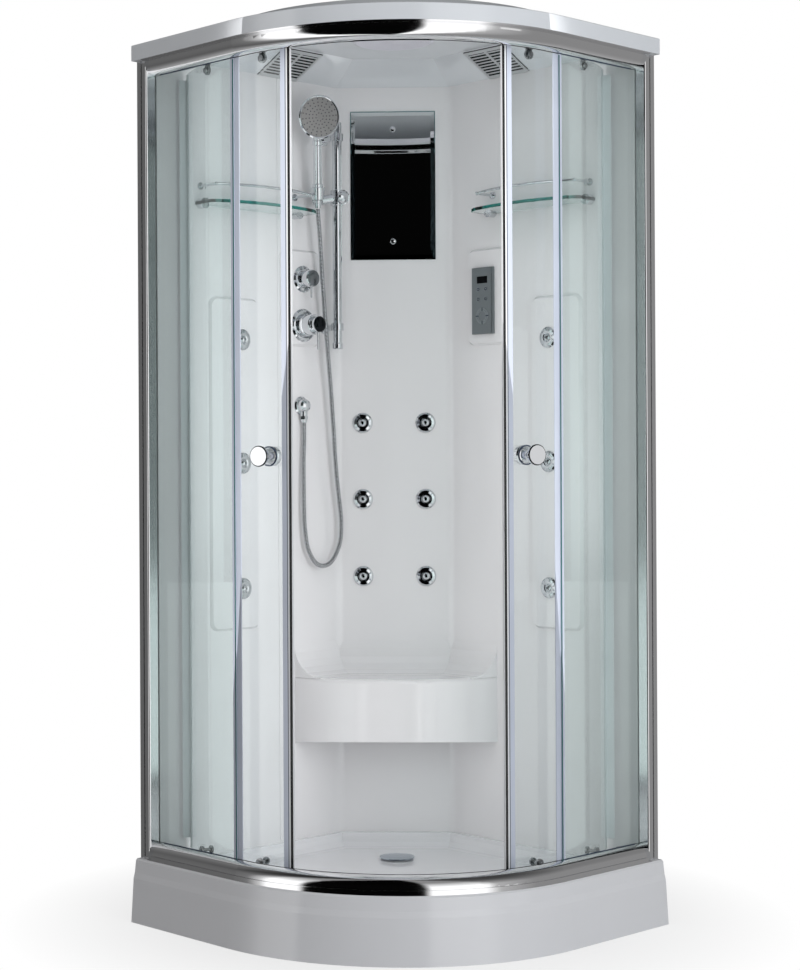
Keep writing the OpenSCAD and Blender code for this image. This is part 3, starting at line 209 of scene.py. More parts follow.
def outside_box(tree, centre, half):
    """1 where the surface lies outside a box on the piece, else 0."""
    away = vector_node(tree, "ABSOLUTE", vector_node(tree, "SUBTRACT", object_coordinates(tree), centre))
    parts = tree.nodes.new("ShaderNodeSeparateXYZ")
    tree.links.new(away, parts.inputs[0])
    past = [math_node(tree, "GREATER_THAN", parts.outputs[axis], limit) for axis, limit in zip("XYZ", half)]
    return math_node(tree, "MAXIMUM", math_node(tree, "MAXIMUM", past[0], past[1]), past[2])


def handled_group():
    """Faint smears and dust on a polished surface: a value about 0 to 1 and a height for bump."""
    group, source, result = new_group(
        "Handled Polish", [("Scale", "NodeSocketFloat", 9.0)],
        [("Smear", "NodeSocketFloat"), ("Height", "NodeSocketFloat")])
    smear = noise(group, source.outputs["Scale"], detail=5.0, distortion=0.6)
    speck = noise(group, 420.0)
    group.links.new(smear, result.inputs["Smear"])
    group.links.new(math_node(group, "MULTIPLY_ADD", speck, 0.3, smear), result.inputs["Height"])
    return group


def moulded_group():
    """The slow waves and faint colour drift of a vacuum-formed acrylic sheet."""
    group, source, result = new_group(
        "Moulded Acrylic", [("Colour", "NodeSocketColor", (0.8, 0.8, 0.8, 1)), ("Drift", "NodeSocketFloat", 0.04)],
        [("Colour", "NodeSocketColor"), ("Roughness", "NodeSocketFloat"), ("Height", "NodeSocketFloat")])
    wave = noise(group, 5.5, detail=1.5)
    grain = noise(group, 260.0, detail=3.0)
    hue = group.nodes.new("ShaderNodeHueSaturation")
    drift = math_node(group, "MULTIPLY", math_node(group, "SUBTRACT", wave, 0.5), source.outputs["Drift"])
    group.links.new(math_node(group, "ADD", drift, 1.0), hue.inputs["Value"])
    group.links.new(source.outputs["Colour"], hue.inputs["Color"])
    group.links.new(hue.outputs["Color"], result.inputs["Colour"])
    group.links.new(math_node(group, "MULTIPLY_ADD", grain, 0.07, 0.09), result.inputs["Roughness"])
    group.links.new(math_node(group, "MULTIPLY_ADD", grain, 0.012, wave), result.inputs["Height"])
    return group


def drawn_group():
    """Fine lines left by drawing or brushing, along the direction whose scale is small."""
    group, source, result = new_group(
        "Drawn Metal", [("Stretch", "NodeSocketVector", (2.0, 2.0, 900.0))],
        [("Line", "NodeSocketFloat"), ("Roughness", "NodeSocketFloat")])
    stretched = vector_node(group, "MULTIPLY", object_coordinates(group), source.outputs["Stretch"])
    lines = noise(group, 1.0, detail=3.0, place=stretched)
    group.links.new(lines, result.inputs["Line"])
    group.links.new(math_node(group, "MULTIPLY_ADD", lines, 0.12, 0.02), result.inputs["Roughness"])
    return group


GROUP_MAKERS = {"Handled Polish": handled_group, "Moulded Acrylic": moulded_group, "Drawn Metal": drawn_group}


def use_group(tree, name):
    node = tree.nodes.new("ShaderNodeGroup")
    node.node_tree = bpy.data.node_groups.get(name) or GROUP_MAKERS[name]()
    return node


# Materials: how much of a lamp's light each pane lets through, beside its tint

LAMP_SHARE = 0.9


def plain(name, base, roughness=0.4, metallic=0.0, **values):
    """A material with one Principled shader, its plain values set on the shader's own sockets."""
    material = bpy.data.materials.new(name)
    material.use_nodes = True
    tree = material.node_tree
    shader = tree.nodes["Principled BSDF"]
    shader.inputs["Base Color"].default_value = (*base, 1)
    shader.inputs["Roughness"].default_value = roughness
    shader.inputs["Metallic"].default_value = metallic
    for label, value in values.items():
        shader.inputs[label.replace("_", " ")].default_value = value
    material.diffuse_color = (*base, 1)
    return material, tree, shader


def add_bump(tree, shader, height, strength, distance):
    bump = tree.nodes.new("ShaderNodeBump")
    bump.inputs["Strength"].default_value = strength
    bump.inputs["Distance"].default_value = distance
    tree.links.new(height, bump.inputs["Height"])
    tree.links.new(bump.outputs["Normal"], shader.inputs["Normal"])


def drift_colour(tree, shader, base, drift=0.04):
    """Gives the shader a base colour, plain or a socket, with the slow drift of moulded plastic."""
    sheet = use_group(tree, "Moulded Acrylic")
    feed(tree, base if isinstance(base, bpy.types.NodeSocket) else (*base, 1), sheet.inputs["Colour"])
    sheet.inputs["Drift"].default_value = drift
    tree.links.new(sheet.outputs["Colour"], shader.inputs["Base Color"])
    return sheet


def handle(tree, shader, low, spread, scale=9.0):
    """Gives the shader the uneven roughness of a handled surface."""
    polish = use_group(tree, "Handled Polish")
    polish.inputs["Scale"].default_value = scale
    tree.links.new(math_node(tree, "MULTIPLY_ADD", polish.outputs["Smear"], spread, low), shader.inputs["Roughness"])
    return polish


def acrylic(name, base, coat=0.35):
    material, tree, shader = plain(name, base, Coat_Weight=coat, Coat_Roughness=0.04, IOR=1.49)
    sheet = drift_colour(tree, shader, base)
    tree.links.new(sheet.outputs["Roughness"], shader.inputs["Roughness"])
    add_bump(tree, shader, sheet.outputs["Height"], 0.25, 0.003)
    return material


def polished(name, base, low=0.02, spread=0.07):
    material, tree, shader = plain(name, base, metallic=1.0)
    polish = handle(tree, shader, low, spread)
    add_bump(tree, shader, polish.outputs["Height"], 0.03, 0.0006)
    return material


def drawn(name, base, stretch, low=0.04, spread=1.0, bump=0.05, metallic=1.0):
    material, tree, shader = plain(name, base, metallic=metallic)
    metal = use_group(tree, "Drawn Metal")
    metal.inputs["Stretch"].default_value = stretch
    tree.links.new(math_node(tree, "MULTIPLY_ADD", metal.outputs["Roughness"], spread, low),
                   shader.inputs["Roughness"])
    add_bump(tree, shader, metal.outputs["Line"], bump, 0.0004)
    return material


def clear_glass(name, tint, edge=None, face_box=None):
    """Glass that lamps shine through. Inside face_box, between a pane's two faces, it has the edge colour."""
    material, tree, shader = plain(name, tint, roughness=0.0, IOR=1.5, Transmission_Weight=1.0)
    handle(tree, shader, -0.0275, 0.05, scale=3.0)
    if face_box is not None:
        tree.links.new(blended(tree, outside_box(tree, *face_box), edge, tint), shader.inputs["Base Color"])
    through = tree.nodes.new("ShaderNodeBsdfTransparent")
    through.inputs["Color"].default_value = (*[LAMP_SHARE * c for c in tint], 1)
    path = tree.nodes.new("ShaderNodeLightPath")
    either = tree.nodes.new("ShaderNodeMixShader")
    tree.links.new(path.outputs["Is Shadow Ray"], either.inputs[0])
    tree.links.new(shader.outputs[0], either.inputs[1])
    tree.links.new(through.outputs[0], either.inputs[2])
    tree.links.new(either.outputs[0], tree.nodes["Material Output"].inputs["Surface"])
    return material


def box_of(node):
    """The middle and half size of a node's box."""
    low, high = (Vector(corner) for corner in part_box(node))
    return (low + high) / 2, (high - low) / 2


def paint(material, *nodes):
    for name in nodes:
        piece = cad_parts[name]
        piece.data.materials.clear()
        piece.data.materials.append(material)


def dress(piece, material, body):
    piece.data.materials.clear()
    piece.data.materials.append(material)
    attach(piece, body)


# Modelling helpers: every piece is shaped with Blender's own operators and then settled

def start_clean():
    if bpy.context.object and bpy.context.object.mode != "OBJECT":
        bpy.ops.object.mode_set(mode="OBJECT")
    bpy.ops.object.select_all(action="DESELECT")


def settle(name):
    """Puts the active object's place into its mesh, merges doubles, and points its faces outwards."""
    piece = bpy.context.object
    bpy.ops.object.transform_apply(location=True, rotation=True, scale=True)
    bpy.ops.object.mode_set(mode="EDIT")
    bpy.ops.mesh.select_all(action="SELECT")
    bpy.ops.mesh.remove_doubles(threshold=0.00001)
    bpy.ops.mesh.normals_make_consistent(inside=False)
    bpy.ops.object.mode_set(mode="OBJECT")
    piece.name = name
    piece.data.name = name
    piece.select_set(False)
    return piece


def add_modifier(kind, **values):
    piece = bpy.context.object
    modifier = piece.modifiers.new(kind.title(), kind)
    for key, value in values.items():
        setattr(modifier, key, value)
    bpy.ops.object.modifier_apply(modifier=modifier.name)


def block(name, centre, size, side=None, bevel=0.0, segments=2, pitch=0.0):
    """A bevelled block, square to the cabin or to one of its side walls, or pitched up from that wall."""
    start_clean()
    bpy.ops.mesh.primitive_cube_add(size=1, location=centre)
    piece = bpy.context.object
    piece.scale = size
    if side:
        piece.rotation_euler = (turned(side) @ Matrix.Rotation(pitch, 3, "X")).to_euler()
    bpy.ops.object.transform_apply(location=False, rotation=False, scale=True)
    if bevel:
        add_modifier("BEVEL", width=bevel, segments=segments, limit_method="NONE")
    return settle(name)


def revolved(name, profile, centre, direction, steps=48):
    """A turned piece: a profile of (radius, height) spun about a direction."""
    start_clean()
    bpy.ops.mesh.primitive_circle_add(vertices=3, radius=0.001, location=(0, 0, 0))
    piece = bpy.context.object
    mesh = piece.data
    mesh.clear_geometry()
    mesh.from_pydata([(r, 0, z) for r, z in profile], [(i, i + 1) for i in range(len(profile) - 1)], [])
    bpy.ops.object.mode_set(mode="EDIT")
    bpy.ops.mesh.select_all(action="SELECT")
    bpy.ops.mesh.spin(steps=steps, angle=math.tau, center=(0, 0, 0), axis=(0, 0, 1))
    bpy.ops.mesh.select_all(action="SELECT")
    bpy.ops.mesh.remove_doubles(threshold=0.00001)
    bpy.ops.object.mode_set(mode="OBJECT")
    piece.rotation_euler = Vector(direction).to_track_quat("Z", "Y").to_euler()
    piece.location = centre
    piece = settle(name)
    smooth(piece)
    return piece


def smooth(piece, angle=35):
    start_clean()
    piece.select_set(True)
    bpy.context.view_layer.objects.active = piece
    bpy.ops.object.shade_smooth_by_angle(angle=math.radians(angle))
    piece.select_set(False)


def join(name, pieces):
    start_clean()
    for piece in pieces:
        piece.select_set(True)
    bpy.context.view_layer.objects.active = pieces[0]
    bpy.ops.object.join()
    pieces[0].name = name
    pieces[0].data.name = name
    pieces[0].select_set(False)
    return pieces[0]


# Stage

# Bearing from the camera's side in degrees, positive to the right, and how bright the studio is there
STUDIO_STRIPS = (
    (-180, 0.01), (-150, 0.03), (-125, 0.26), (-100, 0.08), (-84, 0.14), (-76, 0.45), (-71, 0.95), (-53, 0.95),
    (-49, 0.001), (13, 0.001), (17, 0.95), (44, 0.95), (53, 0.36), (75, 0.20), (105, 0.20), (130, 0.30),
    (150, 0.03), (180, 0.01),
)
STRIP_GAIN = 1.4
OVERHEAD_GAIN = 0.3
AMBIENT = 0.27
# A small card for the right door's knob: bearing and half width in degrees, half height, and its light
CARD = (61, 6, 0.07, 0.42)
# How bright the floor is under the cabin and where it has faded to white, as (distance, level)
FLOOR_FADE = ((0.52, 0.70), (0.95, 1.0))
# Name, bearing, distance, height, width, height of the panel, power, tint, and the point it faces
LAMPS = (
    ("right_softbox", 36, 3.4, 1.5, 1.5, 2.6, 44, (0.94, 0.97, 1.0), (0, 0, 1.15)),
    ("left_softbox", -60, 3.2, 2.6, 0.9, 2.4, 6, (1.0, 0.98, 0.97), (0, 0, 1.15)),
    ("top_softbox", 8, 1.9, 3.6, 2.2, 1.2, 14, (0.96, 0.98, 1.0), (0, 0, 1.15)),
    ("doorway_softbox", 0, 0.32, 1.1, 0.80, 2.0, 3.7, (1.0, 0.99, 0.98), (0, 0.5, 1.15)),
    ("left_pane_softbox", -55, 0.40, 1.45, 0.12, 1.2, 0.65, (1.0, 1.0, 1.0), (-0.60, 0.03, 1.5)),
    ("right_pane_softbox", 55, 0.40, 1.45, 0.12, 1.2, 1.0, (1.0, 1.0, 1.0), (0.60, 0.03, 1.5)),
)


class CABIN_OT_stage(bpy.types.Operator):
    """Camera at the photograph's place, pale floor, soft lamps and a studio for the chrome to mirror"""
    bl_idname = "cabin.stage"
    bl_label = "Stage"

    def execute(self, context):
        camera = bpy.data.cameras.new("view")
        camera.lens = 72.156
        camera.sensor_width = 36.0
        camera.shift_x = 0.10474
        camera.shift_y = -0.02082
        camera.clip_end = 60
        eye = bpy.data.objects.new("view", camera)
        eye.location = (-0.05537, -4.72391, 1.08823)
        eye.rotation_euler = (math.radians(90), math.radians(0.292), math.radians(2.195))
        context.scene.collection.objects.link(eye)
        context.scene.camera = eye
        context.scene.view_settings.view_transform = "Standard"
        self.lamps(context)
        self.world(context)
        self.floor()
        return {"FINISHED"}

    def lamps(self, context):
        for name, azimuth, distance, height, width, tall, power, tint, aim in LAMPS:
            light = bpy.data.lights.new(name, "AREA")
            light.shape = "RECTANGLE"
            light.size = width
            light.size_y = tall
            light.energy = power
            light.color = tint
            lamp = bpy.data.objects.new(name, light)
            a = math.radians(azimuth)
            lamp.location = (distance * math.sin(a), -distance * math.cos(a), height)
            towards = Vector(aim) - lamp.location
            lamp.rotation_euler = towards.to_track_quat("-Z", "Y").to_euler()
            # The chrome mirrors the studio's own strips, not these lamps
            lamp.visible_glossy = False
            lamp.visible_camera = False
            lamp.visible_transmission = False
            context.scene.collection.objects.link(lamp)

    def world(self, context):
        world = bpy.data.worlds.new("studio")
        context.scene.world = world
        world.use_nodes = True
        tree = world.node_tree
        back = tree.nodes["Background"]
        path = tree.nodes.new("ShaderNodeLightPath")
        place = tree.nodes.new("ShaderNodeTexCoord")
        parts = tree.nodes.new("ShaderNodeSeparateXYZ")
        tree.links.new(place.outputs["Generated"], parts.inputs[0])
        # What gloss mirrors: upright strips of the studio by bearing, black towards the camera
        bearing = math_node(tree, "ARCTAN2", parts.outputs["X"],
                            math_node(tree, "MULTIPLY", parts.outputs["Y"], -1.0))
        strips = colour_ramp(tree, math_node(tree, "MULTIPLY_ADD", bearing, 1 / math.tau, 0.5),
                             [(degrees / 360 + 0.5, (level,) * 3) for degrees, level in STUDIO_STRIPS])
        # The strips fade overhead
        gain = map_range(tree, parts.outputs["Z"], 0.35, 0.85, STRIP_GAIN, OVERHEAD_GAIN)
        centre, half_width, half_height, light = CARD
        off = math_node(tree, "ABSOLUTE", math_node(tree, "SUBTRACT", bearing, math.radians(centre)))
        card = math_node(tree, "MULTIPLY", math_node(tree, "LESS_THAN", off, math.radians(half_width)),
                         math_node(tree, "LESS_THAN", math_node(tree, "ABSOLUTE", parts.outputs["Z"]), half_height))
        mirrored = math_node(tree, "MULTIPLY_ADD", card, light, math_node(tree, "MULTIPLY", strips, gain))
        seen = math_node(tree, "MAXIMUM", path.outputs["Is Glossy Ray"], path.outputs["Is Transmission Ray"])
        ambient = math_node(tree, "MULTIPLY_ADD", seen, math_node(tree, "SUBTRACT", mirrored, AMBIENT), AMBIENT)
        # The camera and what it sees through the panes have a white background
        behind = math_node(tree, "MULTIPLY", path.outputs["Is Transmission Ray"],
                           math_node(tree, "GREATER_THAN", parts.outputs["Y"], 0.2))
        white = math_node(tree, "MAXIMUM", path.outputs["Is Camera Ray"], behind)
        tree.links.new(math_node(tree, "MULTIPLY_ADD", white, math_node(tree, "SUBTRACT", 1.0, ambient), ambient),
                       back.inputs["Strength"])
        back.inputs["Color"].default_value = (1, 1, 1, 1)

    def floor(self):
        start_clean()
        bpy.ops.mesh.primitive_circle_add(vertices=96, radius=14, fill_type="NGON", location=(0, 0, -0.0005))
        bpy.ops.object.mode_set(mode="EDIT")
        bpy.ops.mesh.inset(thickness=9.0)
        bpy.ops.object.mode_set(mode="OBJECT")
        floor = settle("studio_floor")
        material, tree, shader = plain("Studio floor", (0.80, 0.80, 0.80), roughness=0.7)
        glow = tree.nodes.new("ShaderNodeEmission")
        path = tree.nodes.new("ShaderNodeLightPath")
        (near, dim), (far, white) = FLOOR_FADE
        fade = map_range(tree, vector_node(tree, "LENGTH", object_coordinates(tree)), near, far, dim, white)
        mix = tree.nodes.new("ShaderNodeMixShader")
        either = math_node(tree, "MAXIMUM", path.outputs["Is Camera Ray"], path.outputs["Is Transmission Ray"])
        tree.links.new(math_node(tree, "MULTIPLY", either, fade), mix.inputs[0])
        tree.links.new(shader.outputs[0], mix.inputs[1])
        tree.links.new(glow.outputs[0], mix.inputs[2])
        tree.links.new(mix.outputs[0], tree.nodes["Material Output"].inputs["Surface"])
        floor.data.materials.append(material)
        floor.visible_glossy = False


# Hose: its route is the photographed one in wall places, in millimetres, as the frame's own solid follows it

# One turn of the steel strip in five steps: how deep each lies, and how dark its groove is painted, as painted shade
HOSE_TURN = ((0.0, 0.0), (0.0, 0.0), (0.00035, 0.45), (0.0010, 1.0), (0.00035, 0.45))
HOSE_SIDES = 14
HOSE_ROUTE = [
    (354, 82, 1739), (353, 82, 1721), (347, 80, 1685), (341, 79, 1628), (335, 77, 1571), (329, 76, 1514),
    (322, 74, 1456), (315, 73, 1399), (307, 71, 1342), (300, 70, 1284), (293, 68, 1227), (287, 67, 1169),
    (281, 65, 1111), (274, 64, 1053), (265, 63, 996), (257, 62, 938), (262, 60, 882), (293, 58, 836),
    (335, 57, 832), (367, 56, 868), (379, 55, 924), (381, 54, 980), (380, 52, 1038), (378, 50, 1096),
    (374, 48, 1150), (373, 47, 1180), (373, 47, 1196),
]


def weave(a, b, c, d, t):
    """The point t of the way from b to c on a smooth curve through all four."""
    return 0.5 * (2 * b + (c - a) * t + (2 * a - 5 * b + 4 * c - d) * t * t
                  + (3 * b - a - 3 * c + d) * t * t * t)


def hose_line(step):
    """Points along the hose's smooth centre line, about a step apart."""
    knots = [on_wall("left", p / 1000, q / 1000, z / 1000) for p, q, z in HOSE_ROUTE]
    fine = []
    for i in range(len(knots) - 1):
        a, d = knots[max(i - 1, 0)], knots[min(i + 2, len(knots) - 1)]
        fine += [weave(a, knots[i], knots[i + 1], d, k / 40) for k in range(40)]
    fine.append(knots[-1])
    run = [0.0]
    for i in range(1, len(fine)):
        run.append(run[-1] + (fine[i] - fine[i - 1]).length)
    count = max(2, round(run[-1] / step))
    line, j = [], 0
    for k in range(count + 1):
        want = run[-1] * k / count
        while j < len(run) - 2 and run[j + 1] < want:
            j += 1
        span = run[j + 1] - run[j]
        line.append(fine[j].lerp(fine[j + 1], (want - run[j]) / span if span else 0))
    return line, run[-1]


class CABIN_OT_hose(bpy.types.Operator):
    """The spiral metal hose from the hand shower down round its loop and up to the wall outlet"""
    bl_idname = "cabin.hose"
    bl_label = "Shower hose"

    def execute(self, context):
        radius = sizes().hose_diameter / 2
        pitch = sizes().hose_pitch
        steps, sides = len(HOSE_TURN), HOSE_SIDES
        line, length = hose_line(pitch / steps)
        points, faces, groove_shades = [], [], []
        last = len(line) - 1
        side = Vector((1, 0, 0))
        for i, at in enumerate(line):
            ahead = (line[min(i + 1, last)] - line[max(i - 1, 0)]).normalized()
            side = (side - ahead * side.dot(ahead)).normalized()
            up = ahead.cross(side)
            depth, groove = HOSE_TURN[i % steps]
            groove_shades += [groove] * sides
            for k in range(sides):
                a = math.tau * k / sides
                points.append(at + (radius - depth) * (math.cos(a) * side + math.sin(a) * up))
        for i in range(last):
            for k in range(sides):
                m = (k + 1) % sides
                faces.append((i * sides + k, i * sides + m, (i + 1) * sides + m, (i + 1) * sides + k))
        faces.append(tuple(range(sides))[::-1])
        faces.append(tuple(last * sides + k for k in range(sides)))
        mesh = bpy.data.meshes.new("spiral_hose")
        mesh.from_pydata(points, [], faces)
        mesh.attributes.new("groove", "FLOAT", "POINT").data.foreach_set("value", groove_shades)
        hose = bpy.data.objects.new("spiral_hose", mesh)
        context.scene.collection.objects.link(hose)
        smooth(hose, 80)
        steel = (0.74, 0.75, 0.77)
        material, tree, shader = plain("Spiral steel", steel, metallic=1.0)
        groove_shade = tree.nodes.new("ShaderNodeAttribute")
        groove_shade.attribute_name = "groove"
        # The grooves are painted darker as they deepen: painted shade
        tree.links.new(blended(tree, groove_shade.outputs["Fac"], steel, (0.05, 0.05, 0.055)), shader.inputs["Base Color"])
        handle(tree, shader, 0.06, 0.25, scale=60.0)
        dress(hose, material, "cabin")
        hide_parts("shower_hose")
        return {"FINISHED"}


# Moulded shells: the ceiling's grilles lie on its slope, each with two fields of slats and a dark sheet of painted
# shade behind

CEILING_SLOPE = math.atan(0.5)
VENT_P = 0.387
VENT_FIELDS = (0.0345, 0.0955)
VENT_FIELD_MIDDLE = 0.05725
VENT_FIELD_SIZE = (0.053, 0.0945, 0.0004)
# Colour of the painted shade inside the vents
VENT_SHADE = (0.012, 0.013, 0.014)


class CABIN_OT_shells(bpy.types.Operator):
    """Acrylic tray, walls, seat and roof, with the lamp's lens and what lies under and behind them"""
    bl_idname = "cabin.shells"
    bl_label = "Moulded shells"

    def execute(self, context):
        c = colours()
        paint(acrylic("Tray acrylic", c.tray), "shower_tray")
        paint(acrylic("Wall acrylic", c.walls, coat=0.5), "left_wall_panel", "right_wall_panel", "back_column")
        paint(acrylic("Roof acrylic", c.roof), "roof")
        paint(drawn("Painted frame", (0.07, 0.07, 0.08), (40, 40, 40), low=0.35, metallic=0.0), "tray_frame")
        paint(drawn("Zinc plate", (0.55, 0.56, 0.55), (90, 90, 90), low=0.25), "levelling_feet")
        paint(acrylic("Trap plastic", (0.42, 0.43, 0.45), coat=0.0), "waste_trap")
        paint(acrylic("Pipe plastic", (0.80, 0.79, 0.72), coat=0.1), "water_pipes")
        paint(drawn("Raw brass", (0.62, 0.47, 0.22), (120, 120, 120), low=0.2), "valve_body")
        paint(self.lens(), "ceiling_lamp")
        paint(self.grille_metal(), "vent_grilles")
        self.vent_shadows()
        return {"FINISHED"}

    def grille_metal(self):
        """Satin slats, painted dark where they reach back behind the grille's face: painted shade."""
        base = (0.60, 0.61, 0.62)
        material, tree, shader = plain("Grille aluminium", base, roughness=0.35, metallic=0.5)
        either_side = vector_node(tree, "ABSOLUTE", object_coordinates(tree))
        across = HALF * math.sin(CEILING_SLOPE)
        back = Vector((across, across, math.cos(CEILING_SLOPE)))
        level = back.dot(on_wall("right", VENT_P, PANEL_FACE, WALL_TOP)) - 0.0030
        # The slats' deeper part is painted dark: painted shade
        painted_shade = math_node(tree, "GREATER_THAN", vector_node(tree, "DOT_PRODUCT", either_side, back), level)
        tree.links.new(blended(tree, painted_shade, base, VENT_SHADE), shader.inputs["Base Color"])
        return material

    def vent_shadows(self):
        """A dark sheet behind each grille's slats: painted shade inside the vents."""
        shade_sheet, tree, shader = plain("Vent shade sheet", VENT_SHADE, roughness=0.8)
        tree.links.new(blended(tree, noise(tree, 900.0), (0.006, 0.006, 0.007), (0.03, 0.03, 0.03)),
                       shader.inputs["Base Color"])
        rise, run, below = math.sin(CEILING_SLOPE), math.cos(CEILING_SLOPE), 0.0003
        q = PANEL_FACE + VENT_FIELD_MIDDLE * run + below * rise
        z = WALL_TOP + VENT_FIELD_MIDDLE * rise - below * run
        # Each sheet is painted shade behind a field of slats
        sheets = [block("shade_sheet", on_wall(side, VENT_P + across, q, z), VENT_FIELD_SIZE, side, pitch=CEILING_SLOPE)
                  for side in ("left", "right") for across in VENT_FIELDS]
        dress(join("vent_shade_sheets", sheets), shade_sheet, "cabin")

    def lens(self):
        """Lilac plastic with rings moulded round the lamp's middle."""
        material, tree, shader = plain("Lamp lens", (0.86, 0.84, 0.93), roughness=0.25, Coat_Weight=0.4)
        flat = vector_node(tree, "MULTIPLY", object_coordinates(tree), (1, 1, 0))
        away = vector_node(tree, "DISTANCE", flat, (0, 0.01, 0))
        turns = math_node(tree, "MULTIPLY", away, math.tau / sizes().lamp_ring_pitch)
        add_bump(tree, shader, math_node(tree, "SINE", turns), 0.5, 0.0008)
        return material


# Tracks, posts and panes: how far from the room corner the fixed panes stand, and where their free edges
# and the tracks' lips are

PANE_P = 0.8435
FREE_EDGE_Q = 0.3195
LIP_ABOVE = 2.019
LIP_BELOW = 0.1884
RUBBER = (0.03, 0.05, 0.09)


class CABIN_OT_surround(bpy.types.Operator):
    """Bright tracks and posts, fixed panes with their edges, gaskets and seals"""
    bl_idname = "cabin.surround"
    bl_label = "Tracks and fixed panes"

    def execute(self, context):
        c = colours()
        paint(drawn("Bright track", c.track, (1.5, 1.5, 1300), low=0.0, spread=0.9, bump=0.02),
              "top_track", "bottom_track")
        paint(drawn("Bright post", c.track, (900, 900, 1.5), low=0.04, spread=1.0, bump=0.02), "wall_posts")
        paint(polished("Cap chrome", c.chrome, low=0.03, spread=0.06), "track_end_caps")
        paint(clear_glass("Fixed pane", c.glass), "fixed_glasses")
        material, tree, shader = plain("Vinyl seal", c.seal, roughness=0.28, Coat_Weight=0.2)
        drift_colour(tree, shader, c.seal, 0.2)
        paint(material, "fixed_glass_seals")
        self.edges(c)
        self.gaskets()
        return {"FINISHED"}

    def edges(self, c):
        """The dark green line of each fixed pane's cut edge."""
        material = acrylic("Cut glass edge", c.glass_edge, coat=0.6)
        strips = [block(side + "_cut_edge", on_wall(side, PANE_P + 0.0007, FREE_EDGE_Q, 1.1),
                        (0.0012, 0.0035, 1.83), side, bevel=0.0004) for side in ("left", "right")]
        dress(join("pane_cut_edges", strips), material, "cabin")

    def gaskets(self):
        """The dark line of rubber between each fixed pane and the lips of both tracks."""
        material, tree, shader = plain("Gasket rubber", RUBBER, roughness=0.45)
        drift_colour(tree, shader, RUBBER)
        tall = sizes().gasket_height
        strips = [block("gasket", on_wall(side, PANE_P, 0.19, z), (0.0016, 0.27, tall), side, bevel=0.0004)
                  for side in ("left", "right") for z in (LIP_ABOVE - tall / 2, LIP_BELOW + tall / 2)]
        dress(join("pane_gaskets", strips), material, "cabin")


# Doors: at rest each pane's own arc has this centre, its leading edge stands at this turn about it

DOOR_CENTRE = (0.061328, 0.080404)
DOOR_TURN = math.radians(22.85)
# The radius of the panes' outer face, and a knob's turn past the leading edge and its height
DOOR_FACE = 0.4535
KNOB_AT = math.radians(7.6)
KNOB_Z = 1.108
# Rings on a knob, as (radius, distance from the pane): the disc's dark rim and the rubber washer
KNOB_RIM = (
    (0.0214, 0.0450), (0.0217, 0.0454), (0.0222, 0.0452), (0.0237, 0.0434), (0.0238, 0.0424), (0.0232, 0.0426),
    (0.0214, 0.0450),
)
KNOB_WASHER = (
    (0.0208, 0.0003), (0.0226, 0.0003), (0.0230, 0.0010), (0.0229, 0.0024), (0.0222, 0.0031), (0.0208, 0.0030),
    (0.0208, 0.0003),
)
# Where each stripe of the leading edge starts, from its lip, and its colour, or the seals' own; the white stripe on
# the lip is a painted highlight
EDGE_WIDTH = 0.030
EDGE_STRIPES = (
    (0.0, (0.82, 0.82, 0.84)), (0.0014, (0.006, 0.006, 0.007)), (0.0078, (0.88, 0.88, 0.90)),
    (0.0112, (0.12, 0.14, 0.18)), (0.0136, None), (0.0290, (0.80, 0.83, 0.85)),
)


class CABIN_OT_doors(bpy.types.Operator):
    """Curved sliding panes with their seals, knobs, brackets and wheels"""
    bl_idname = "cabin.doors"
    bl_label = "Doors"

    def execute(self, context):
        c = colours()
        glass = clear_glass("Door pane", c.door_glass)
        knob = polished("Knob chrome", c.chrome, low=0.01, spread=0.05)
        rim = polished("Knob rim", (0.05, 0.055, 0.06), low=0.1)
        rubber = bpy.data.materials["Gasket rubber"]
        bracket = drawn("Bracket steel", (0.42, 0.43, 0.44), (60, 60, 60), low=0.18)
        wheel = acrylic("Wheel nylon", (0.70, 0.69, 0.66), coat=0.1)
        for side, sign in (("left", -1), ("right", 1)):
            body = side + "_door"
            paint(glass, side + "_door_glass")
            paint(self.edge_strip(side, sign), side + "_door_seals")
            paint(knob, side + "_door_knob")
            paint(bracket, side + "_roller_mounts")
            paint(wheel, side + "_front_wheel", side + "_rear_wheel")
            turn = DOOR_TURN + KNOB_AT
            centre = (sign * DOOR_CENTRE[0], DOOR_CENTRE[1], KNOB_Z)
            out = (sign * math.sin(turn), -math.cos(turn), 0)
            for name, profile, steps, material, slot in (("_knob_rim", KNOB_RIM, 72, rim, "chrome"),
                                                         ("_knob_washer", KNOB_WASHER, 64, rubber, "seal")):
                lifted = [(radius, DOOR_FACE + height) for radius, height in profile]
                dress(revolved(side + name, lifted, centre, out, steps), material, body)
        return {"FINISHED"}

    def edge_strip(self, side, sign):
        """The leading edge from its lip: white lip, a painted highlight, black magnet, white line, dark groove and
        clear channel.
        """
        base = colours().seal
        material, tree, shader = plain(side.title() + " door seal", base, roughness=0.26, Coat_Weight=0.3)
        centre = (sign * DOOR_CENTRE[0], DOOR_CENTRE[1], 0)
        place = vector_node(tree, "SUBTRACT", object_coordinates(tree), centre)
        along = vector_node(tree, "DOT_PRODUCT", place, (sign * math.cos(DOOR_TURN), math.sin(DOOR_TURN), 0))
        stripes = colour_ramp(tree, math_node(tree, "MULTIPLY", along, 1 / EDGE_WIDTH),
                              [(start / EDGE_WIDTH, value or base) for start, value in EDGE_STRIPES], "CONSTANT")
        drift_colour(tree, shader, stripes, 0.15)
        return material


# Wall fittings: the mirror's bevel and ground edge, and how far down its top band reaches; below the band the bevel
# is painted dark, a painted reflection

MIRROR_BEVEL = 0.012
GROUND_EDGE = 0.0022
MIRROR_BAND = 0.083


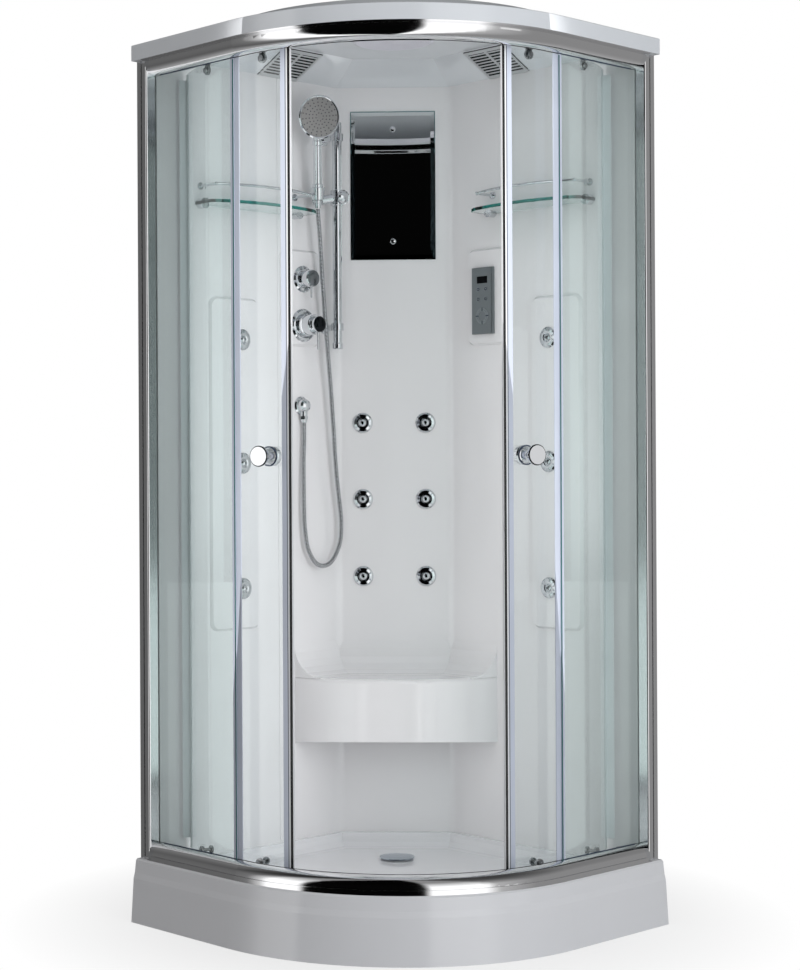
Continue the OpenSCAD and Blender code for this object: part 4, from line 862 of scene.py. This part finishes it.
class CABIN_OT_mirror(bpy.types.Operator):
    """Bevelled mirror on two dome screws"""
    bl_idname = "cabin.mirror"
    bl_label = "Mirror"

    def execute(self, context):
        silver = (0.90, 0.93, 0.92)
        material, tree, shader = plain("Silvered glass", silver, metallic=1.0)
        handle(tree, shader, 0.0, 0.012, scale=5.0)
        # The bevel is painted dark below the top band, a painted reflection, and the ground edge round it is green
        middle, half = box_of("wall_mirror")
        below = middle - Vector((0, 0, MIRROR_BAND))
        low = math_node(tree, "SUBTRACT", 1, outside_box(tree, below, half + Vector((1, 1, 0))))
        bevel = math_node(tree, "MULTIPLY", low,
                          outside_box(tree, middle, half - Vector((MIRROR_BEVEL, -1, MIRROR_BEVEL))))
        ground = outside_box(tree, middle, half - Vector((GROUND_EDGE, -1, GROUND_EDGE)))
        shade = blended(tree, ground, (0.012, 0.016, 0.018), (0.24, 0.42, 0.43))
        rim = math_node(tree, "MAXIMUM", bevel, ground)
        tree.links.new(blended(tree, rim, silver, shade), shader.inputs["Base Color"])
        paint(material, "wall_mirror")
        paint(polished("Screw chrome", colours().chrome), "mirror_fixings")
        return {"FINISHED"}


# The valve's two inlaid faces: height, body, colour, and profile of (radius, distance from the wall)
VALVE_P = 0.370
VALVE_FACES = (
    ("mixer_face", 1.444, "mixer_lever", (0.02, 0.022, 0.025),
     ((0, 0.1108), (0.0121, 0.1103), (0.0178, 0.1084), (0.0201, 0.1050), (0.0201, 0.1034), (0.0196, 0.1034),
      (0.0196, 0.1050), (0.0174, 0.1079), (0.0119, 0.1098), (0, 0.1103))),
    ("diverter_face", 1.562, "diverter_knob", (0.20, 0.215, 0.225),
     ((0, 0.0834), (0.0192, 0.0829), (0.0202, 0.0824), (0.0198, 0.0820), (0.0190, 0.0824), (0, 0.0829))),
)
# The hand shower's grip and how it leans, turns and tilts in degrees, and its head from that grip
GRIP = (-0.192, 0.219, 1.741)
HAND_LEAN, HAND_TURN, HEAD_TILT = 12, 24, 4
HEAD_AT = (0, -0.010, 0.228)
PLATE = (
    (0, 0.0041), (0.0494, 0.0041), (0.0497, 0.0068), (0.0490, 0.0074), (0.030, 0.0078), (0.0066, 0.0081),
    (0.0062, 0.0076), (0.0056, 0.0082), (0, 0.0085),
)
# A nozzle as (share of its radius, height), and the rings of them as (radius, count)
NOZZLE = ((1.5, 0.0070), (1.25, 0.0079), (1, 0.0092), (0.45, 0.0094), (0, 0.0086))
NOZZLE_RINGS = ((0.0100, 8), (0.0190, 14), (0.0280, 20), (0.0368, 20), (0.0452, 20))


class CABIN_OT_hand_shower(bpy.types.Operator):
    """Hand shower with its soft nozzles, the valve's faces, and the chrome of the inner fittings"""
    bl_idname = "cabin.hand_shower"
    bl_label = "Hand shower"

    def execute(self, context):
        paint(polished("Fitting chrome", colours().fittings, low=0.03),
              "riser_rail", "rail_slider", "handset_holder", "handset", "handset_nut", "wall_outlet",
              "valve_rosettes", "diverter_knob", "mixer_sleeve", "mixer_lever", "shelf_fittings", "jet_housings",
              *EYEBALL_NAMES)
        paint(polished("Cover chrome", (0.46, 0.51, 0.57), low=0.08), "waste_cover")
        self.spray_plate()
        self.valve_faces()
        return {"FINISHED"}

    def valve_faces(self):
        """The dark domed face on the mixer's lever and the grey one on the diverter's knob."""
        for name, z, body, base, profile in VALVE_FACES:
            face = revolved(name, profile, on_wall("left", VALVE_P, 0, z), OUTWARD["left"], steps=64)
            metal = polished(name.replace("_", " ").capitalize(), base, low=0.12, spread=0.12)
            dress(face, metal, body)

    def spray_plate(self):
        """The domed plate and its rings of nozzles, along the head's own axis."""
        hand = Matrix.Translation(GRIP) @ Matrix.Rotation(math.radians(HAND_LEAN), 4, "X")
        head = (hand @ Matrix.Rotation(math.radians(HAND_TURN), 4, "Z") @ Matrix.Translation(HEAD_AT)
                @ Matrix.Rotation(math.radians(90 - HEAD_TILT), 4, "X"))
        axis = head.to_3x3() @ Vector((0, 0, 1))
        plate = revolved("spray_plate", PLATE, head.translation, axis, steps=72)
        satin, tree, shader = plain("Satin plate", (0.255, 0.25, 0.245), metallic=0.25)
        handle(tree, shader, 0.2, 0.2)
        dress(plate, satin, "hand_shower")
        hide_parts("handset_face")
        profile = [(sizes().nozzle_radius * share, height) for share, height in NOZZLE]
        first = revolved("nozzle", profile, (0, 0, 0), (0, 0, 1), steps=10)
        nozzles = []
        for radius, count in NOZZLE_RINGS:
            for k in range(count):
                a = math.tau * (k + 0.25) / count
                nozzle = first.copy()
                nozzle.data = first.data.copy()
                bpy.context.scene.collection.objects.link(nozzle)
                place = Matrix.Translation((radius * math.cos(a), radius * math.sin(a), -0.0002))
                nozzle.data.transform(head @ place)
                nozzles.append(nozzle)
        bpy.data.objects.remove(first)
        rubber = acrylic("Nozzle rubber", colours().rubber, coat=0.0)
        dress(join("spray_nozzles", nozzles), rubber, "hand_shower")


class CABIN_OT_shelves(bpy.types.Operator):
    """Clear shelves with their green polished edge"""
    bl_idname = "cabin.shelves"
    bl_label = "Glass shelves"

    def execute(self, context):
        middle, half = box_of("glass_shelves")
        between = middle, (5, 5, half.z - 0.0002)
        paint(clear_glass("Shelf glass", (0.83, 0.945, 0.93), colours().shelf_edge, between), "glass_shelves")
        return {"FINISHED"}


# The keys' outer faces from the wall, the marked keys' places, the ring key's middle and its four bars
KEY_FACE = FIELD_FACE + 0.0117
KEYS = (
    ("upper_left_key", 0.358, 1.532), ("upper_right_key", 0.383, 1.532),
    ("lower_left_key", 0.358, 1.507), ("lower_right_key", 0.383, 1.507),
)
RING_P, RING_Z = 0.371, 1.464
RING_BAR_AT = 0.0168
RING_BAR = (0.0090, 0.0026)


class CABIN_OT_control_panel(bpy.types.Operator):
    """Brushed panel with its display, marked keys and ring key"""
    bl_idname = "cabin.control_panel"
    bl_label = "Control panel"

    def execute(self, context):
        c = colours()
        paint(drawn("Brushed front", c.panel, (900, 900, 6), low=0.3, spread=1.6, bump=0.12, metallic=0.7),
              "control_panel")
        key = drawn("Key face", tuple(1.25 * v for v in c.panel), (900, 900, 6), low=0.3, bump=0.1, metallic=0.7)
        paint(key, "keypad_ring", *[name for name, _, _ in KEYS])
        self.display()
        self.marks()
        return {"FINISHED"}

    def display(self):
        """The black window above the keys."""
        window = block("display_window", on_wall("right", 0.3705, 0.0532, 1.556), (0.0346, 0.0018, 0.0176),
                       "right", bevel=0.0006)
        material, tree, shader = plain("Display glass", (0.002, 0.0025, 0.003), IOR=1.12)
        handle(tree, shader, 0.02, 0.06)
        dress(window, material, "cabin")

    def marks(self):
        """A ring and a stem on each key, and a thin circle with four bars on the ring key."""
        dark = acrylic("Printed mark", (0.006, 0.012, 0.04), coat=0.0)
        for name, p, z in KEYS:
            start_clean()
            bpy.ops.mesh.primitive_torus_add(
                major_radius=0.0034, minor_radius=0.0009, major_segments=28, minor_segments=8,
                location=on_wall("right", p, KEY_FACE + 0.0002, z),
                rotation=(turned("right") @ Matrix.Rotation(math.pi / 2, 3, "X")).to_euler())
            ring = settle(name + "_ring_mark")
            up = 0.0022 if p < RING_P else -0.0022
            stem = block(name + "_stem", on_wall("right", p, KEY_FACE + 0.0002, z + up),
                         (0.0009, 0.0006, 0.0026), "right", bevel=0.0002)
            mark = join(name + "_mark", [ring, stem])
            smooth(mark)
            dress(mark, dark, name)
        bars = []
        length, width = RING_BAR
        for k in range(4):
            a = math.tau * k / 4
            p, z = RING_P + RING_BAR_AT * math.cos(a), RING_Z + RING_BAR_AT * math.sin(a)
            size = (length, 0.0006, width) if k % 2 == 0 else (width, 0.0006, length)
            bars.append(block("bar", on_wall("right", p, KEY_FACE + 0.0003, z), size, "right", bevel=0.0002))
        circle = revolved("circle", [(0.0157, 0), (0.0157, 0.0004), (0.0162, 0.0004), (0.0162, 0), (0.0157, 0)],
                          on_wall("right", RING_P, KEY_FACE, RING_Z), OUTWARD["right"], steps=64)
        dress(join("ring_bars", bars + [circle]), dark, "keypad_ring")


class CABIN_PT_finishes(bpy.types.Panel):
    """Lists the cabin's sizes, colours and pieces"""
    bl_idname = "CABIN_PT_finishes"
    bl_label = "Shower Cabin"
    bl_space_type = "VIEW_3D"
    bl_region_type = "UI"
    bl_category = "Shower Cabin"

    def draw(self, context):
        for group in (context.scene.cabin_sizes, context.scene.cabin_colours):
            for key in group.bl_rna.properties.keys():
                if key not in {"rna_type", "name"}:
                    self.layout.prop(group, key)
        for operator in OPERATORS:
            self.layout.operator(operator.bl_idname)


OPERATORS = (
    CABIN_OT_stage, CABIN_OT_hose, CABIN_OT_shells, CABIN_OT_surround, CABIN_OT_doors, CABIN_OT_mirror,
    CABIN_OT_hand_shower, CABIN_OT_shelves, CABIN_OT_control_panel,
)
CLASSES = (CabinSizes, CabinColours, *OPERATORS, CABIN_PT_finishes)


def register():
    for kind in CLASSES:
        bpy.utils.register_class(kind)
    bpy.types.Scene.cabin_sizes = bpy.props.PointerProperty(type=CabinSizes)
    bpy.types.Scene.cabin_colours = bpy.props.PointerProperty(type=CabinColours)


def unregister():
    del bpy.types.Scene.cabin_colours
    del bpy.types.Scene.cabin_sizes
    for kind in reversed(CLASSES):
        bpy.utils.unregister_class(kind)


def main():
    register()
    for step in (
        bpy.ops.cabin.stage, bpy.ops.cabin.hose, bpy.ops.cabin.shells, bpy.ops.cabin.surround,
        bpy.ops.cabin.doors, bpy.ops.cabin.mirror, bpy.ops.cabin.hand_shower, bpy.ops.cabin.shelves,
        bpy.ops.cabin.control_panel,
    ):
        step()


if __name__ == "__main__":
    main()
